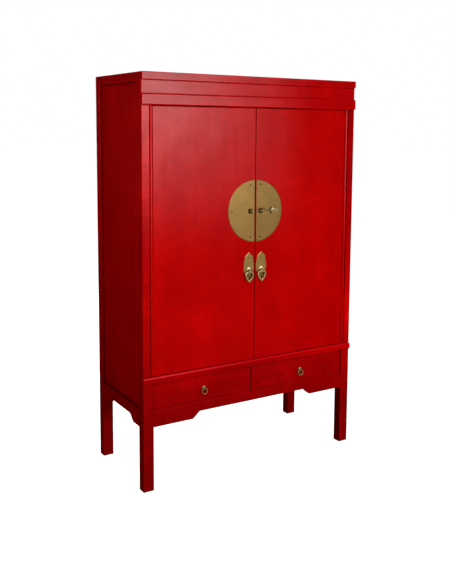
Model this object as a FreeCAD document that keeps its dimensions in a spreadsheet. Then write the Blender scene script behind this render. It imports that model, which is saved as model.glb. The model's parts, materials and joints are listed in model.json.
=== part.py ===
import FreeCAD, Part
import math
import os

import Sketcher

# A red lacquered wedding cabinet: two tall doors on wooden pivots, a round brass lock plate
# with a sliding pin, two drawers and four straight legs.
# The frame: X to the right, Y to the back, Z up, origin on the floor under the middle.
# Every size is in millimetres and stands once, here. Shares and counts end in share or count.
SIZES = {
    # the whole cabinet
    "overall_width": 1000.0,
    "overall_depth": 450.0,
    "overall_height": 1600.0,
    "moulding_reach": 8.0,
    # corner posts, which run down as legs, and the glides under them
    "post_width": 44.0,
    "post_depth": 40.0,
    "post_round": 2.0,
    "glide_radius": 12.0,
    "glide_height": 2.0,
    # top board, and the rails across the front from the top down
    "top_thickness": 35.0,
    "cap_height": 29.0,
    "cap_round": 2.5,
    "rail_lap": 20.0,
    "frieze_height": 50.0,
    "band_height": 41.0,
    "band_round": 4.0,
    "belt_height": 26.0,
    "belt_round": 7.0,
    "drawer_opening_height": 108.0,
    # aprons with a stepped lower edge
    "leg_clear_height": 254.5,
    "apron_step": 26.5,
    "apron_slant": 30.0,
    "front_apron_foot": 171.0,
    "side_apron_foot": 56.0,
    "side_apron_web": 44.0,
    "front_apron_web": 37.0,
    "apron_thickness": 20.0,
    "apron_round": 6.0,
    "tenon_length": 14.0,
    "tenon_thickness": 10.0,
    "tenon_shoulder": 8.0,
    # panels let into grooves
    "side_panel_thickness": 10.0,
    "side_panel_recess": 9.0,
    "back_panel_thickness": 6.0,
    "back_panel_recess": 6.0,
    "groove_depth": 6.0,
    # cupboard floor and shelves
    "floor_thickness": 12.0,
    "floor_rebate": 10.0,
    "shelf_thickness": 16.0,
    "shelf_space": 4.5,
    "lower_shelf_rise": 340.0,
    "upper_shelf_rise": 690.0,
    "cleat_width": 15.0,
    "cleat_height": 20.0,
    # doors
    "door_recess": 3.5,
    "door_gap": 3.0,
    "door_round": 1.5,
    "stop_gap": 0.5,
    "stop_height": 34.0,
    "stop_drop": 12.0,
    "stop_thickness": 14.0,
    "batten_height": 45.0,
    "batten_thickness": 14.0,
    "batten_end_space": 24.0,
    "batten_rise": 100.0,
    # round pivot stiles at the doors' outer edges
    "pivot_radius": 6.5,
    "pivot_inset": 37.5,
    "pivot_setback": 8.0,
    "pivot_clearance": 0.4,
    "stile_groove": 2.5,
    "stile_end_gap": 0.4,
    "tongue_length": 8.0,
    "tongue_thickness": 6.0,
    "pivot_pin_radius": 4.0,
    "pivot_pin_clearance": 0.1,
    "lower_pin_length": 6.0,
    "upper_pin_length": 14.0,
    "pin_end_gap": 0.3,
    # brass lock plate in two halves, its staples and nails
    "brass_thickness": 1.2,
    "lock_plate_radius": 125.0,
    "lock_plate_gap": 7.6,
    "lock_plate_shift": 3.0,
    "lock_rise": 615.0,
    "staple_offset": 24.5,
    "staple_reach": 5.2,
    "staple_bore": 2.5,
    "staple_width": 13.0,
    "staple_flange": 3.2,
    "staple_height": 19.6,
    "staple_depth": 9.2,
    "staple_waist_height": 17.0,
    "staple_waist_depth": 8.3,
    "eye_wire": 1.0,
    "shank_radius": 0.85,
    "shank_length": 12.0,
    "shank_clearance": 0.1,
    "nail_circle": 108.0,
    "nail_angle": 79.0,
    "nail_radius": 0.8,
    "nail_length": 8.0,
    "nail_head_radius": 2.3,
    "nail_head_height": 0.9,
    "nail_head_share": 0.55,
    # sliding lock pin
    "lock_pin_radius": 2.1,
    "lock_pin_tip_radius": 0.8,
    "lock_pin_taper": 14.0,
    "lock_pin_length": 68.0,
    "lock_pin_clear": 1.5,
    "lock_head_length": 38.0,
    "lock_head_half_height": 14.5,
    "lock_head_thickness": 3.2,
    "lock_head_boss": 4.6,
    "lock_head_rise": 0.9,
    # handle plates and heart pendants
    "handle_offset": 29.7,
    "handle_gap": 41.0,
    "handle_length": 122.0,
    "handle_half_width": 25.0,
    "handle_eye_drop": 71.0,
    "handle_nail_drop": 24.0,
    "handle_low_nail_drop": 98.0,
    "pull_reach": 6.0,
    "pull_bore": 2.2,
    "rosette_radius": 9.0,
    "handle_rosette_radius": 11.0,
    "rosette_height": 3.4,
    "rosette_rim": 0.7,
    "pendant_thickness": 2.6,
    "pendant_bar": 2.4,
    "pendant_eye_radius": 5.2,
    "pendant_eye_hole": 2.9,
    "pendant_neck": 3.6,
    "pendant_neck_drop": 9.2,
    "pendant_half_width": 20.5,
    "pendant_shoulder_drop": 21.5,
    "pendant_length": 53.0,
    "pendant_limb": 5.4,
    "pendant_tip_limb": 9.5,
    # drawers
    "divider_width": 28.0,
    "drawer_gap": 2.0,
    "drawer_front_thickness": 20.0,
    "drawer_front_round": 2.0,
    "drawer_side_thickness": 12.0,
    "drawer_side_gap": 0.5,
    "drawer_running_gap": 0.3,
    "drawer_bottom_thickness": 6.0,
    "drawer_bottom_rise": 8.0,
    "drawer_groove_depth": 4.0,
    "drawer_stop_gap": 0.5,
    "drawer_back_drop": 14.0,
    "runner_height": 18.0,
    "runner_width": 30.0,
    "runner_guide_height": 27.0,
    "guide_thickness": 12.0,
    "kicker_width": 20.0,
    "ring_radius": 11.7,
    "ring_wire_radius": 1.8,
    # how far a cut runs on past the face it leaves
    "overrun": 1.0,
}

LEFT = -1
RIGHT = 1
CLOSE = 0.01
FULL_TURN = 360

doc = FreeCAD.newDocument("wedding_cabinet")
sheet = doc.addObject("Spreadsheet::Sheet", "Sizes")
subparts = []


# Lengths that know both their number and the expression that binds it to the sheet
class Length:
    def __init__(self, number, text):
        self.number = number
        self.text = text

    def __add__(self, other):
        return combined(self, "+", other)

    def __sub__(self, other):
        return combined(self, "-", other)

    def __mul__(self, other):
        return combined(self, "*", other)

    def __truediv__(self, other):
        return combined(self, "/", other)

    def __radd__(self, other):
        return combined(other, "+", self)

    def __rsub__(self, other):
        return combined(other, "-", self)

    def __rmul__(self, other):
        return combined(other, "*", self)

    def __neg__(self):
        return combined(0, "-", self)


def as_length(item):
    if isinstance(item, Length):
        return item
    return Length(float(item), repr(item))


def combined(first, sign, second):
    first = as_length(first)
    second = as_length(second)
    if sign == "+":
        number = first.number + second.number
    elif sign == "-":
        number = first.number - second.number
    elif sign == "*":
        number = first.number * second.number
    else:
        number = first.number / second.number
    return Length(number, f"({first.text} {sign} {second.text})")


def square_root(item):
    return Length(math.sqrt(item.number), f"sqrt({item.text})")


def cosine(angle):
    return Length(math.cos(math.radians(angle.number)), f"cos({angle.text})")


def sine(angle):
    return Length(math.sin(math.radians(angle.number)), f"sin({angle.text})")


class Sizes:
    pass


def fill_sheet():
    """Puts each driving dimension in its own cell, and gives it back under the cell's alias."""
    named = Sizes()
    for row, (name, number) in enumerate(SIZES.items(), start=1):
        sheet.set(f"A{row}", name)
        sheet.set(f"B{row}", str(number))
        sheet.setAlias(f"B{row}", name)
        setattr(named, name, Length(number, f"Sizes.{name}"))
    doc.recompute()
    return named


def bind(thing, path, length):
    thing.setExpression(path, as_length(length).text)


def span(side, near, far):
    """The low and high X of a stretch that runs from near to far on one side."""
    if side == RIGHT:
        return near, far
    return -far, -near


# Bodies made of sketches on their own origin planes
def new_body(label):
    body = doc.addObject("PartDesign::Body", label)
    body.Label = label
    subparts.append(body)
    return body


def new_sketch(body, plane, level):
    sketch = body.newObject("Sketcher::SketchObject", "outline")
    support = [item for item in body.Origin.OriginFeatures if item.Role == plane][0]
    sketch.AttachmentSupport = (support, [""])
    sketch.MapMode = "FlatFace"
    normal_level = -level if plane == "XZ_Plane" else level
    bind(sketch, ".AttachmentOffset.Base.z", normal_level)
    return sketch


def hold(sketch, kind, geometry, corner, length):
    """Fixes one coordinate of a point of the sketch to a length."""
    rule = Sketcher.Constraint(kind, -1, 1, geometry, corner, length.number)
    index = sketch.addConstraint(rule)
    bind(sketch, f"Constraints[{index}]", length)


def hold_radius(sketch, geometry, length):
    index = sketch.addConstraint(Sketcher.Constraint("Radius", geometry, length.number))
    bind(sketch, f"Constraints[{index}]", length)


def arc_between(start, end, bow):
    """The arc that bows out to the left of the way from start to end, with its radius."""
    dx = end[0] - start[0]
    dy = end[1] - start[1]
    chord = square_root(dx * dx + dy * dy)
    size = bow if bow.number > 0 else -bow
    radius = (chord * chord / 4 + bow * bow) / (2 * size)
    low = FreeCAD.Vector(start[0].number, start[1].number, 0)
    high = FreeCAD.Vector(end[0].number, end[1].number, 0)
    left = FreeCAD.Vector(-dy.number, dx.number, 0).normalize()
    middle = (low + high) * 0.5
    turn = 1 if bow.number > 0 else -1
    centre = middle - left * (turn * (radius.number - size.number))
    first, last = (high, low) if turn == 1 else (low, high)
    angles = [math.atan2(spot.y - centre.y, spot.x - centre.x) for spot in (first, last)]
    circle = Part.Circle(centre, FreeCAD.Vector(0, 0, 1), radius.number)
    return Part.ArcOfCircle(circle, angles[0], angles[1]), radius, turn == 1


def draw_outline(sketch, points):
    """A closed outline. A point with a third value is reached by an arc that bows by it."""
    spots = [(as_length(point[0]), as_length(point[1])) for point in points]
    ends = []
    for index, start in enumerate(spots):
        following = (index + 1) % len(spots)
        end = spots[following]
        target = points[following]
        if len(target) == 3:
            arc, radius, swapped = arc_between(start, end, as_length(target[2]))
            geometry = sketch.addGeometry(arc, False)
            hold_radius(sketch, geometry, radius)
            ends.append((geometry, 2, 1) if swapped else (geometry, 1, 2))
        else:
            low = FreeCAD.Vector(start[0].number, start[1].number, 0)
            high = FreeCAD.Vector(end[0].number, end[1].number, 0)
            geometry = sketch.addGeometry(Part.LineSegment(low, high), False)
            ends.append((geometry, 1, 2))
    for index, (geometry, start_corner, end_corner) in enumerate(ends):
        after, after_start, _ = ends[(index + 1) % len(ends)]
        sketch.addConstraint(
            Sketcher.Constraint("Coincident", geometry, end_corner, after, after_start)
        )
        hold(sketch, "DistanceX", geometry, start_corner, spots[index][0])
        hold(sketch, "DistanceY", geometry, start_corner, spots[index][1])


def draw_circle(sketch, across, along, radius):
    across = as_length(across)
    along = as_length(along)
    centre = FreeCAD.Vector(across.number, along.number, 0)
    circle = Part.Circle(centre, FreeCAD.Vector(0, 0, 1), radius.number)
    geometry = sketch.addGeometry(circle, False)
    hold(sketch, "DistanceX", geometry, 3, across)
    hold(sketch, "DistanceY", geometry, 3, along)
    hold_radius(sketch, geometry, radius)


def draw(sketch, shapes):
    """Outlines are lists of points, and circles are tuples of two places and a radius."""
    for shape in shapes:
        if isinstance(shape, tuple):
            draw_circle(sketch, *shape)
        else:
            draw_outline(sketch, shape)


def rectangle(low_x, high_x, low_y, high_y):
    return [(low_x, low_y), (high_x, low_y), (high_x, high_y), (low_x, high_y)]


def grow(body, plane, low, high, *shapes):
    """Adds material between two levels along the plane's own axis."""
    sketch = new_sketch(body, plane, high if plane == "XZ_Plane" else low)
    draw(sketch, shapes)
    pad = body.newObject("PartDesign::Pad", "pad")
    pad.Profile = sketch
    pad.Length = (high - low).number
    bind(pad, "Length", high - low)
    return pad


def carve(body, plane, low, high, *shapes):
    """Takes material away between two levels, and checks that it did."""
    doc.recompute()
    before = body.Shape.Volume
    sketch = new_sketch(body, plane, low if plane == "XZ_Plane" else high)
    draw(sketch, shapes)
    pocket = body.newObject("PartDesign::Pocket", "pocket")
    pocket.Profile = sketch
    pocket.Length = (high - low).number
    bind(pocket, "Length", high - low)
    doc.recompute()
    if not body.Shape.Volume < before:
        raise RuntimeError(f"a cut in {body.Label} takes nothing away")
    return pocket


def spin(body, plane, level, axis, *shapes):
    """Turns an outline a full turn about one axis of its sketch."""
    sketch = new_sketch(body, plane, level)
    draw(sketch, shapes)
    turned = body.newObject("PartDesign::Revolution", "turned")
    turned.Profile = sketch
    turned.ReferenceAxis = (sketch, [axis])
    turned.Angle = FULL_TURN
    return turned


def lies(edge, x=None, y=None, z=None):
    """True if both ends of an edge have the places given."""
    for corner in edge.Vertexes:
        for place, wanted in ((corner.X, x), (corner.Y, y), (corner.Z, z)):
            if wanted is not None and abs(place - as_length(wanted).number) > CLOSE:
                return False
    return True


def runs_along(edge, direction):
    """True if an edge is straight and runs along the direction."""
    if not isinstance(edge.Curve, (Part.Line, Part.LineSegment)):
        return False
    return edge.Curve.Direction.cross(direction).Length < CLOSE


def soften(body, radius, wanted):
    """Rounds every edge of the body that the test picks."""
    doc.recompute()
    tip = body.Tip
    names = [f"Edge{n}" for n, edge in enumerate(tip.Shape.Edges, start=1) if wanted(edge)]
    rounding = body.newObject("PartDesign::Fillet", "rounding")
    rounding.Base = (tip, names)
    rounding.Radius = radius.number
    bind(rounding, "Radius", radius)
    body.Tip = rounding
    return rounding


def put(thing, x, y, z):
    """Places a finished sub-part, which was drawn about its own origin."""
    for axis, place in (("x", x), ("y", y), ("z", z)):
        bind(thing, f".Placement.Base.{axis}", place)


ALONG_X = FreeCAD.Vector(1, 0, 0)
ALONG_Y = FreeCAD.Vector(0, 1, 0)
ALONG_Z = FreeCAD.Vector(0, 0, 1)


# Plain boards, and groups of like boards that share a node
def plain_box(name, low_x, high_x, low_y, high_y, low_z, high_z):
    box = doc.addObject("Part::Box", name)
    bind(box, "Length", high_x - low_x)
    bind(box, "Width", high_y - low_y)
    bind(box, "Height", high_z - low_z)
    put(box, low_x, low_y, low_z)
    return box


def board(label, *places):
    box = plain_box(label, *places)
    box.Label = label
    subparts.append(box)
    return box


def group(label, members):
    compound = doc.addObject("Part::Compound", label)
    compound.Label = label
    compound.Links = members
    subparts.append(compound)
    return compound


dim = fill_sheet()

# Places that the whole cabinet shares, across and from the front to the back
half_width = dim.overall_width / 2
post_inner = half_width - dim.post_width
side_panel_outer = half_width - dim.side_panel_recess
side_panel_inner = side_panel_outer - dim.side_panel_thickness
moulding_front = -dim.overall_depth / 2
post_front = moulding_front + dim.moulding_reach
rail_back = post_front + dim.rail_lap
front_post_back = post_front + dim.post_depth
back = dim.overall_depth / 2
rear_post_front = back - dim.post_depth
back_rail_front = back - dim.apron_thickness
back_panel_back = back - dim.back_panel_recess
back_panel_front = back_panel_back - dim.back_panel_thickness

# Heights, from the floor up and from the top down
apron_low = dim.leg_clear_height
apron_high = apron_low + dim.apron_step
side_apron_top = apron_high + dim.side_apron_web
side_groove_low = side_apron_top - dim.groove_depth
drawer_floor = apron_high + dim.front_apron_web
belt_bottom = drawer_floor + dim.drawer_opening_height
belt_top = belt_bottom + dim.belt_height
floor_bottom = belt_top - dim.floor_thickness
frieze_top = dim.overall_height - dim.cap_height
band_top = frieze_top - dim.frieze_height
band_bottom = band_top - dim.band_height
post_top = dim.overall_height - dim.top_thickness
top_groove_high = post_top + dim.groove_depth

# The doors, and the upright axis that each one turns about
door_front = post_front + dim.door_recess
door_back = rail_back - dim.stop_gap
door_low = belt_top + dim.door_gap
door_high = band_bottom - dim.door_gap
door_inner_edge = dim.door_gap / 2
pivot_x = half_width - dim.pivot_inset
pivot_y = post_front + dim.pivot_setback
door_outer_edge = pivot_x - dim.pivot_radius - dim.stile_groove
tongue_end = door_outer_edge - dim.tongue_length
tongue_back = pivot_y + dim.tongue_thickness

# Where the brass goes: the lock plate over the belt rail, the handle plates under it
lock_height = belt_top + dim.lock_rise
handle_top = lock_height - dim.lock_plate_radius - dim.handle_gap
handle_eye_height = handle_top - dim.handle_eye_drop
brass_face = door_front - dim.brass_thickness

# The drawers
drawer_outer = post_inner - dim.drawer_gap
drawer_inner = dim.divider_width / 2 + dim.drawer_gap
drawer_low = drawer_floor + dim.drawer_gap
drawer_high = belt_bottom - dim.drawer_gap
drawer_front_back = door_front + dim.drawer_front_thickness
drawer_end = back_rail_front - dim.drawer_stop_gap
drawer_box_low = drawer_floor + dim.drawer_running_gap
drawer_bottom_low = drawer_box_low + dim.drawer_bottom_rise
drawer_bottom_high = drawer_bottom_low + dim.drawer_bottom_thickness
pull_x = (drawer_outer + drawer_inner) / 2
pull_height = (drawer_low + drawer_high) / 2

# How far a quarter of a circle bows out from its chord, as a share of its radius
quarter_bow_share = 1 - math.sqrt(1 / 2)

# Half the outline of a handle plate from its upper to its lower point: across as a share of the
# half width, down as a share of the length, and the bow of the edge that arrives there
handle_outline_shares = (
    (0.83, 0.15, -0.03),
    (0.82, 0.27, -0.03),
    (0.965, 0.45, 0.05),
    (0.92, 0.63, 0.05),
    (0.0, 1.0, 0.13),
)
pendant_bow_shares = {"neck": 0.04, "lobe": 0.24, "flank": 0.17}

# The upper half of the lock pin's head from its neck to its point: along as a share of the
# length, across and the bow of the edge that arrives there as shares of the half height
lock_head_shares = (
    (0.0, 0.30, 0.0),
    (0.13, 1.0, -0.10),
    (0.38, 0.56, -0.10),
    (1.0, 0.0, 0.27),
)
lock_boss_share = 0.36


def on_side(side, points):
    """The same outline on one side of the middle."""
    return [(side * spot[0], spot[1]) + tuple(side * bow for bow in spot[2:]) for spot in points]


def both_halves(points):
    """Closes a right half, which starts and ends on the middle line, with its mirror image."""
    closed = [(points[0][0], points[0][1], points[1][2])] + points[1:]
    for index in range(len(points) - 2, 0, -1):
        across, along = points[index][:2]
        closed.append((-across, along, points[index + 1][2]))
    return closed


# The carcase
def corner_post(label, side, at_front):
    """A post with rounded arrises, then the notches, grooves and mortises cut into it."""
    body = new_body(label)
    low_x, high_x = span(side, post_inner, half_width)
    low_y, high_y = (post_front, front_post_back) if at_front else (rear_post_front, back)
    grow(body, "XY_Plane", dim.glide_height, post_top, rectangle(low_x, high_x, low_y, high_y))
    soften(body, dim.post_round, lambda edge: runs_along(edge, ALONG_Z))
    side_joints_in_post(body, side, at_front)
    if at_front:
        front_joints_in_post(body, side, low_x, high_x)
    else:
        back_joints_in_post(body, side)


def side_joints_in_post(body, side, at_front):
    """The groove for the side panel, and the mortise for the side apron under it."""
    depths = (dim.groove_depth, dim.tenon_length)
    if at_front:
        groove_y, mortise_y = [(front_post_back - depth, front_post_back) for depth in depths]
    else:
        groove_y, mortise_y = [(rear_post_front, rear_post_front + depth) for depth in depths]
    groove_x = span(side, side_panel_inner, side_panel_outer)
    carve(body, "XY_Plane", side_groove_low, post_top, rectangle(*groove_x, *groove_y))
    low_z, high_z = tenon_heights(apron_low, side_groove_low)
    mortise_x = span(side, *tenon_width(half_width - dim.apron_thickness))
    carve(body, "XY_Plane", low_z, high_z, rectangle(*mortise_x, *mortise_y))


def front_joints_in_post(body, side, low_x, high_x):
    """Notches for the rails that cross the front, and the cove that the pivot stile turns in."""
    lap = rectangle(low_x, high_x, post_front, rail_back)
    carve(body, "XY_Plane", band_bottom, post_top, lap)
    carve(body, "XY_Plane", belt_bottom, belt_top, lap)
    radius = dim.pivot_radius + dim.pivot_clearance
    cove = [
        (post_inner - dim.overrun, post_front - dim.overrun),
        (pivot_x + radius, post_front - dim.overrun),
        (pivot_x + radius, pivot_y),
        (pivot_x, pivot_y + radius, -radius * quarter_bow_share),
        (post_inner - dim.overrun, pivot_y + radius),
    ]
    carve(body, "XY_Plane", belt_top, band_bottom, on_side(side, cove))
    low_z, high_z = tenon_heights(apron_low, drawer_floor)
    mortise_x = span(side, post_inner, post_inner + dim.tenon_length)
    carve(body, "XY_Plane", low_z, high_z, rectangle(*mortise_x, *tenon_width(post_front)))


def back_joints_in_post(body, side):
    """The groove for the back panel, and the mortise for the back rail under it."""
    groove_x = span(side, post_inner, post_inner + dim.groove_depth)
    groove = rectangle(*groove_x, back_panel_front, back_panel_back)
    carve(body, "XY_Plane", side_groove_low, post_top, groove)
    low_z, high_z = tenon_heights(apron_high, side_groove_low)
    mortise_x = span(side, post_inner, post_inner + dim.tenon_length)
    carve(body, "XY_Plane", low_z, high_z, rectangle(*mortise_x, *tenon_width(back_rail_front)))


def tenon_heights(low, high):
    return low + dim.tenon_shoulder, high - dim.tenon_shoulder


def tenon_width(face):
    """Where a tenon lies in the thickness of an apron whose near face is at face."""
    low = face + (dim.apron_thickness - dim.tenon_thickness) / 2
    return low, low + dim.tenon_thickness


def top_board():
    """The thick top: its front edge is the cap moulding, rebated over the frieze."""
    body = new_body("top_board")
    plan = rectangle(-half_width, half_width, moulding_front, back)
    grow(body, "XY_Plane", post_top, dim.overall_height, plan)
    past_side = half_width + dim.overrun
    rebate = rectangle(-past_side, past_side, moulding_front - dim.overrun, rail_back)
    carve(body, "XY_Plane", post_top, frieze_top, rebate)
    soften(body, dim.cap_round, is_cap_arris)
    side_grooves = [
        rectangle(*span(side, side_panel_inner, side_panel_outer), *side_panel_depths())
        for side in (LEFT, RIGHT)
    ]
    carve(body, "XY_Plane", post_top, top_groove_high, *side_grooves)
    back_groove = rectangle(*back_panel_widths(), back_panel_front, back_panel_back)
    carve(body, "XY_Plane", post_top, top_groove_high, back_groove)


def is_cap_arris(edge):
    at_top = lies(edge, z=dim.overall_height)
    under_front = lies(edge, y=moulding_front, z=frieze_top)
    return at_top or under_front


def side_panel_depths():
    return front_post_back - dim.groove_depth, rear_post_front + dim.groove_depth


def back_panel_widths():
    edge = post_inner + dim.groove_depth
    return -edge, edge


def frieze():
    """The flat board under the cap, with its ends rounded like the posts."""
    body = new_body("frieze")
    plan = rectangle(-half_width, half_width, post_front, rail_back)
    grow(body, "XY_Plane", band_top, frieze_top, plan)
    soften(body, dim.post_round, is_upright_front_arris)


def is_upright_front_arris(edge):
    return runs_along(edge, ALONG_Z) and lies(edge, y=post_front)


def front_rail(label, low, high, nose_round):
    """A rail that crosses both front posts and stands proud of them with a rounded nose."""
    body = new_body(label)
    plan = rectangle(-half_width, half_width, moulding_front, rail_back)
    grow(body, "XY_Plane", low, high, plan)
    soften(body, nose_round, lambda edge: runs_along(edge, ALONG_X) and lies(edge, y=moulding_front))
    return body


def pivot_holes(body, low, high):
    radius = dim.pivot_pin_radius + dim.pivot_pin_clearance
    holes = [(side * pivot_x, pivot_y, radius) for side in (LEFT, RIGHT)]
    carve(body, "XY_Plane", low, high, *holes)


def band_rail():
    """The rail over the doors. Its holes are deep enough to lift a door out of the lower ones."""
    body = front_rail("band_rail", band_bottom, band_top, dim.band_round)
    depth = dim.upper_pin_length + dim.lower_pin_length + dim.pin_end_gap
    pivot_holes(body, band_bottom, band_bottom + depth)


def belt_rail():
    """The rail under the doors, rebated behind for the cupboard floor."""
    body = front_rail("belt_rail", belt_bottom, belt_top, dim.belt_round)
    pivot_holes(body, belt_top - dim.lower_pin_length - dim.pin_end_gap, belt_top)
    low_y = rail_back - dim.floor_rebate
    rebate = rectangle(-post_inner, post_inner, low_y, rail_back + dim.overrun)
    carve(body, "XY_Plane", floor_bottom, belt_top, rebate)


def stepped_outline(low_end, high_end, foot, top):
    """An apron's outline: low feet at both ends, a slant, and a higher edge between."""
    return [
        (low_end, apron_low),
        (low_end + foot, apron_low),
        (low_end + foot + dim.apron_slant, apron_high),
        (high_end - foot - dim.apron_slant, apron_high),
        (high_end - foot, apron_low),
        (high_end, apron_low),
        (high_end, top),
        (low_end, top),
    ]


def front_apron():
    body = new_body("front_apron")
    outline = stepped_outline(-post_inner, post_inner, dim.front_apron_foot, drawer_floor)
    grow(body, "XZ_Plane", post_front, post_front + dim.apron_thickness, outline)
    foot_x = post_inner - dim.front_apron_foot

    def is_step(edge):
        at_foot = lies(edge, x=foot_x, z=apron_low) or lies(edge, x=-foot_x, z=apron_low)
        return runs_along(edge, ALONG_Y) and (at_foot or lies(edge, z=apron_high))

    soften(body, dim.apron_round, is_step)
    for side in (LEFT, RIGHT):
        end_x = span(side, post_inner, post_inner + dim.tenon_length)
        tenon = rectangle(*tenon_width(post_front), *tenon_heights(apron_low, drawer_floor))
        grow(body, "YZ_Plane", *end_x, tenon)


def side_apron(label, side):
    """The lower rail of a side, with the same stepped edge, grooved for the side panel."""
    body = new_body(label)
    outline = stepped_outline(front_post_back, rear_post_front, dim.side_apron_foot, side_apron_top)
    wide = span(side, half_width - dim.apron_thickness, half_width)
    grow(body, "YZ_Plane", *wide, outline)
    front_foot = front_post_back + dim.side_apron_foot
    rear_foot = rear_post_front - dim.side_apron_foot

    def is_step(edge):
        at_foot = lies(edge, y=front_foot, z=apron_low) or lies(edge, y=rear_foot, z=apron_low)
        return runs_along(edge, ALONG_X) and (at_foot or lies(edge, z=apron_high))

    soften(body, dim.apron_round, is_step)
    groove_x = span(side, side_panel_inner, side_panel_outer)
    groove = rectangle(*groove_x, front_post_back, rear_post_front)
    carve(body, "XY_Plane", side_groove_low, side_apron_top, groove)
    tenon_x = span(side, *tenon_width(half_width - dim.apron_thickness))
    tenon = rectangle(*tenon_x, *tenon_heights(apron_low, side_groove_low))
    grow(body, "XZ_Plane", front_post_back - dim.tenon_length, front_post_back, tenon)
    grow(body, "XZ_Plane", rear_post_front, rear_post_front + dim.tenon_length, tenon)


def back_rail():
    """The plain rail across the back, grooved for the back panel."""
    body = new_body("back_rail")
    outline = rectangle(-post_inner, post_inner, apron_high, side_apron_top)
    grow(body, "XZ_Plane", back_rail_front, back, outline)
    groove = rectangle(-post_inner, post_inner, back_panel_front, back_panel_back)
    carve(body, "XY_Plane", side_groove_low, side_apron_top, groove)
    for side in (LEFT, RIGHT):
        end_x = span(side, post_inner, post_inner + dim.tenon_length)
        heights = tenon_heights(apron_high, side_groove_low)
        grow(body, "YZ_Plane", *end_x, rectangle(*tenon_width(back_rail_front), *heights))


def panels():
    """Side panels and back panel, each let into grooves all round."""
    heights = (side_groove_low, top_groove_high)
    for label, side in (("side_panel_left", LEFT), ("side_panel_right", RIGHT)):
        wide = span(side, side_panel_inner, side_panel_outer)
        board(label, *wide, *side_panel_depths(), *heights)
    board("back_panel", *back_panel_widths(), back_panel_front, back_panel_back, *heights)


def notched_shelf(label, front, low, high):
    """A level board that reaches the side panels and is notched round all four posts."""
    body = new_body(label)
    right = [
        (post_inner, front),
        (post_inner, front_post_back),
        (side_panel_inner, front_post_back),
        (side_panel_inner, rear_post_front),
        (post_inner, rear_post_front),
        (post_inner, back_panel_front),
    ]
    left = [(-across, along) for across, along in reversed(right)]
    grow(body, "XY_Plane", low, high, right + left)


def shelves():
    """The cupboard floor on its rebate, and two shelves on cleats along the sides."""
    notched_shelf("cupboard_floor", rail_back - dim.floor_rebate, floor_bottom, belt_top)
    shelf_front = door_back + dim.batten_thickness + dim.shelf_space
    cleats = []
    for label, rise in (("lower_shelf", dim.lower_shelf_rise), ("upper_shelf", dim.upper_shelf_rise)):
        low = belt_top + rise
        notched_shelf(label, shelf_front, low, low + dim.shelf_thickness)
        for side in (LEFT, RIGHT):
            wide = span(side, side_panel_inner - dim.cleat_width, side_panel_inner)
            long = (front_post_back, rear_post_front)
            cleats.append(plain_box("cleat", *wide, *long, low - dim.cleat_height, low))
    group("shelf_cleats", cleats)


def door_stop():
    """The strip behind the band rail that the doors close against."""
    low = band_bottom - dim.stop_drop
    deep = (rail_back, rail_back + dim.stop_thickness)
    board("door_stop", -post_inner, post_inner, *deep, low, low + dim.stop_height)


def glides():
    """A low round glide under each leg."""
    members = []
    for side in (LEFT, RIGHT):
        for middle_y in ((post_front + front_post_back) / 2, (rear_post_front + back) / 2):
            glide = doc.addObject("Part::Cylinder", "glide")
            bind(glide, "Radius", dim.glide_radius)
            bind(glide, "Height", dim.glide_height)
            put(glide, side * (post_inner + half_width) / 2, middle_y, 0)
            members.append(glide)
    group("glides", members)


# What the drawers slide on and between
def drawer_frame():
    half_divider = dim.divider_width / 2
    deep = (post_front, rail_back)
    board("drawer_divider", -half_divider, half_divider, *deep, drawer_floor, belt_bottom)
    kickers = [plain_box("kicker", -half_divider, half_divider, *kicker_places())]
    for side in (LEFT, RIGHT):
        wide = span(side, post_inner - dim.kicker_width, post_inner)
        kickers.append(plain_box("kicker", *wide, *kicker_places()))
    group("drawer_kickers", kickers)
    runner_low = drawer_floor - dim.runner_height
    guide_high = drawer_floor + dim.runner_guide_height
    long = (rail_back, back_rail_front)
    middle = new_body("runner_centre")
    base = rectangle(-dim.runner_width, dim.runner_width, *long)
    grow(middle, "XY_Plane", runner_low, drawer_floor, base)
    fin = rectangle(-drawer_inner, drawer_inner, *long)
    grow(middle, "XY_Plane", drawer_floor, guide_high, fin)
    for label, side in (("runner_left", LEFT), ("runner_right", RIGHT)):
        runner = new_body(label)
        wide = span(side, post_inner - dim.runner_width, post_inner)
        grow(runner, "XY_Plane", runner_low, drawer_floor, rectangle(*wide, *long))
        guide_x = span(side, drawer_outer, drawer_outer + dim.guide_thickness)
        guide = rectangle(*guide_x, front_post_back, rear_post_front)
        grow(runner, "XY_Plane", runner_low, guide_high, guide)


def kicker_places():
    return rail_back, back_panel_front, belt_bottom, floor_bottom


# Brass fittings, drawn about their own origins on the face that they are fixed to
def pull_eye(label, rosette_radius):
    """A domed rosette with a loop of wire on a shank that runs on into the wood."""
    body = new_body(label)
    spin(body, "XY_Plane", as_length(0), "V_Axis", rosette_outline(rosette_radius))
    loop_radius = dim.pull_bore + dim.eye_wire
    shank = (0, 0, dim.shank_radius)
    grow(body, "XZ_Plane", loop_radius - dim.pull_reach, dim.shank_length, shank)
    loop = spin(body, "XY_Plane", as_length(0), "H_Axis", (0, -loop_radius, dim.eye_wire))
    bind(loop.Profile[0], ".AttachmentOffset.Base.y", -dim.pull_reach)
    return body


def rosette_outline(radius):
    """Half the section of the domed rosette, level at its middle and with a thin rim."""
    rise = dim.rosette_height - dim.rosette_rim
    chord = square_root(radius * radius + rise * rise)
    dome = chord * chord / (2 * rise)
    bow = dome - square_root(dome * dome - chord * chord / 4)
    return [(0, 0), (radius, 0), (radius, -dim.rosette_rim), (0, -dim.rosette_height, bow)]


def arch(height, depth):
    """The round-backed outline of a saddle that stands out from a plate by its depth."""
    half = height / 2
    return [(0, -half, -depth), (0, half)]


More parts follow.
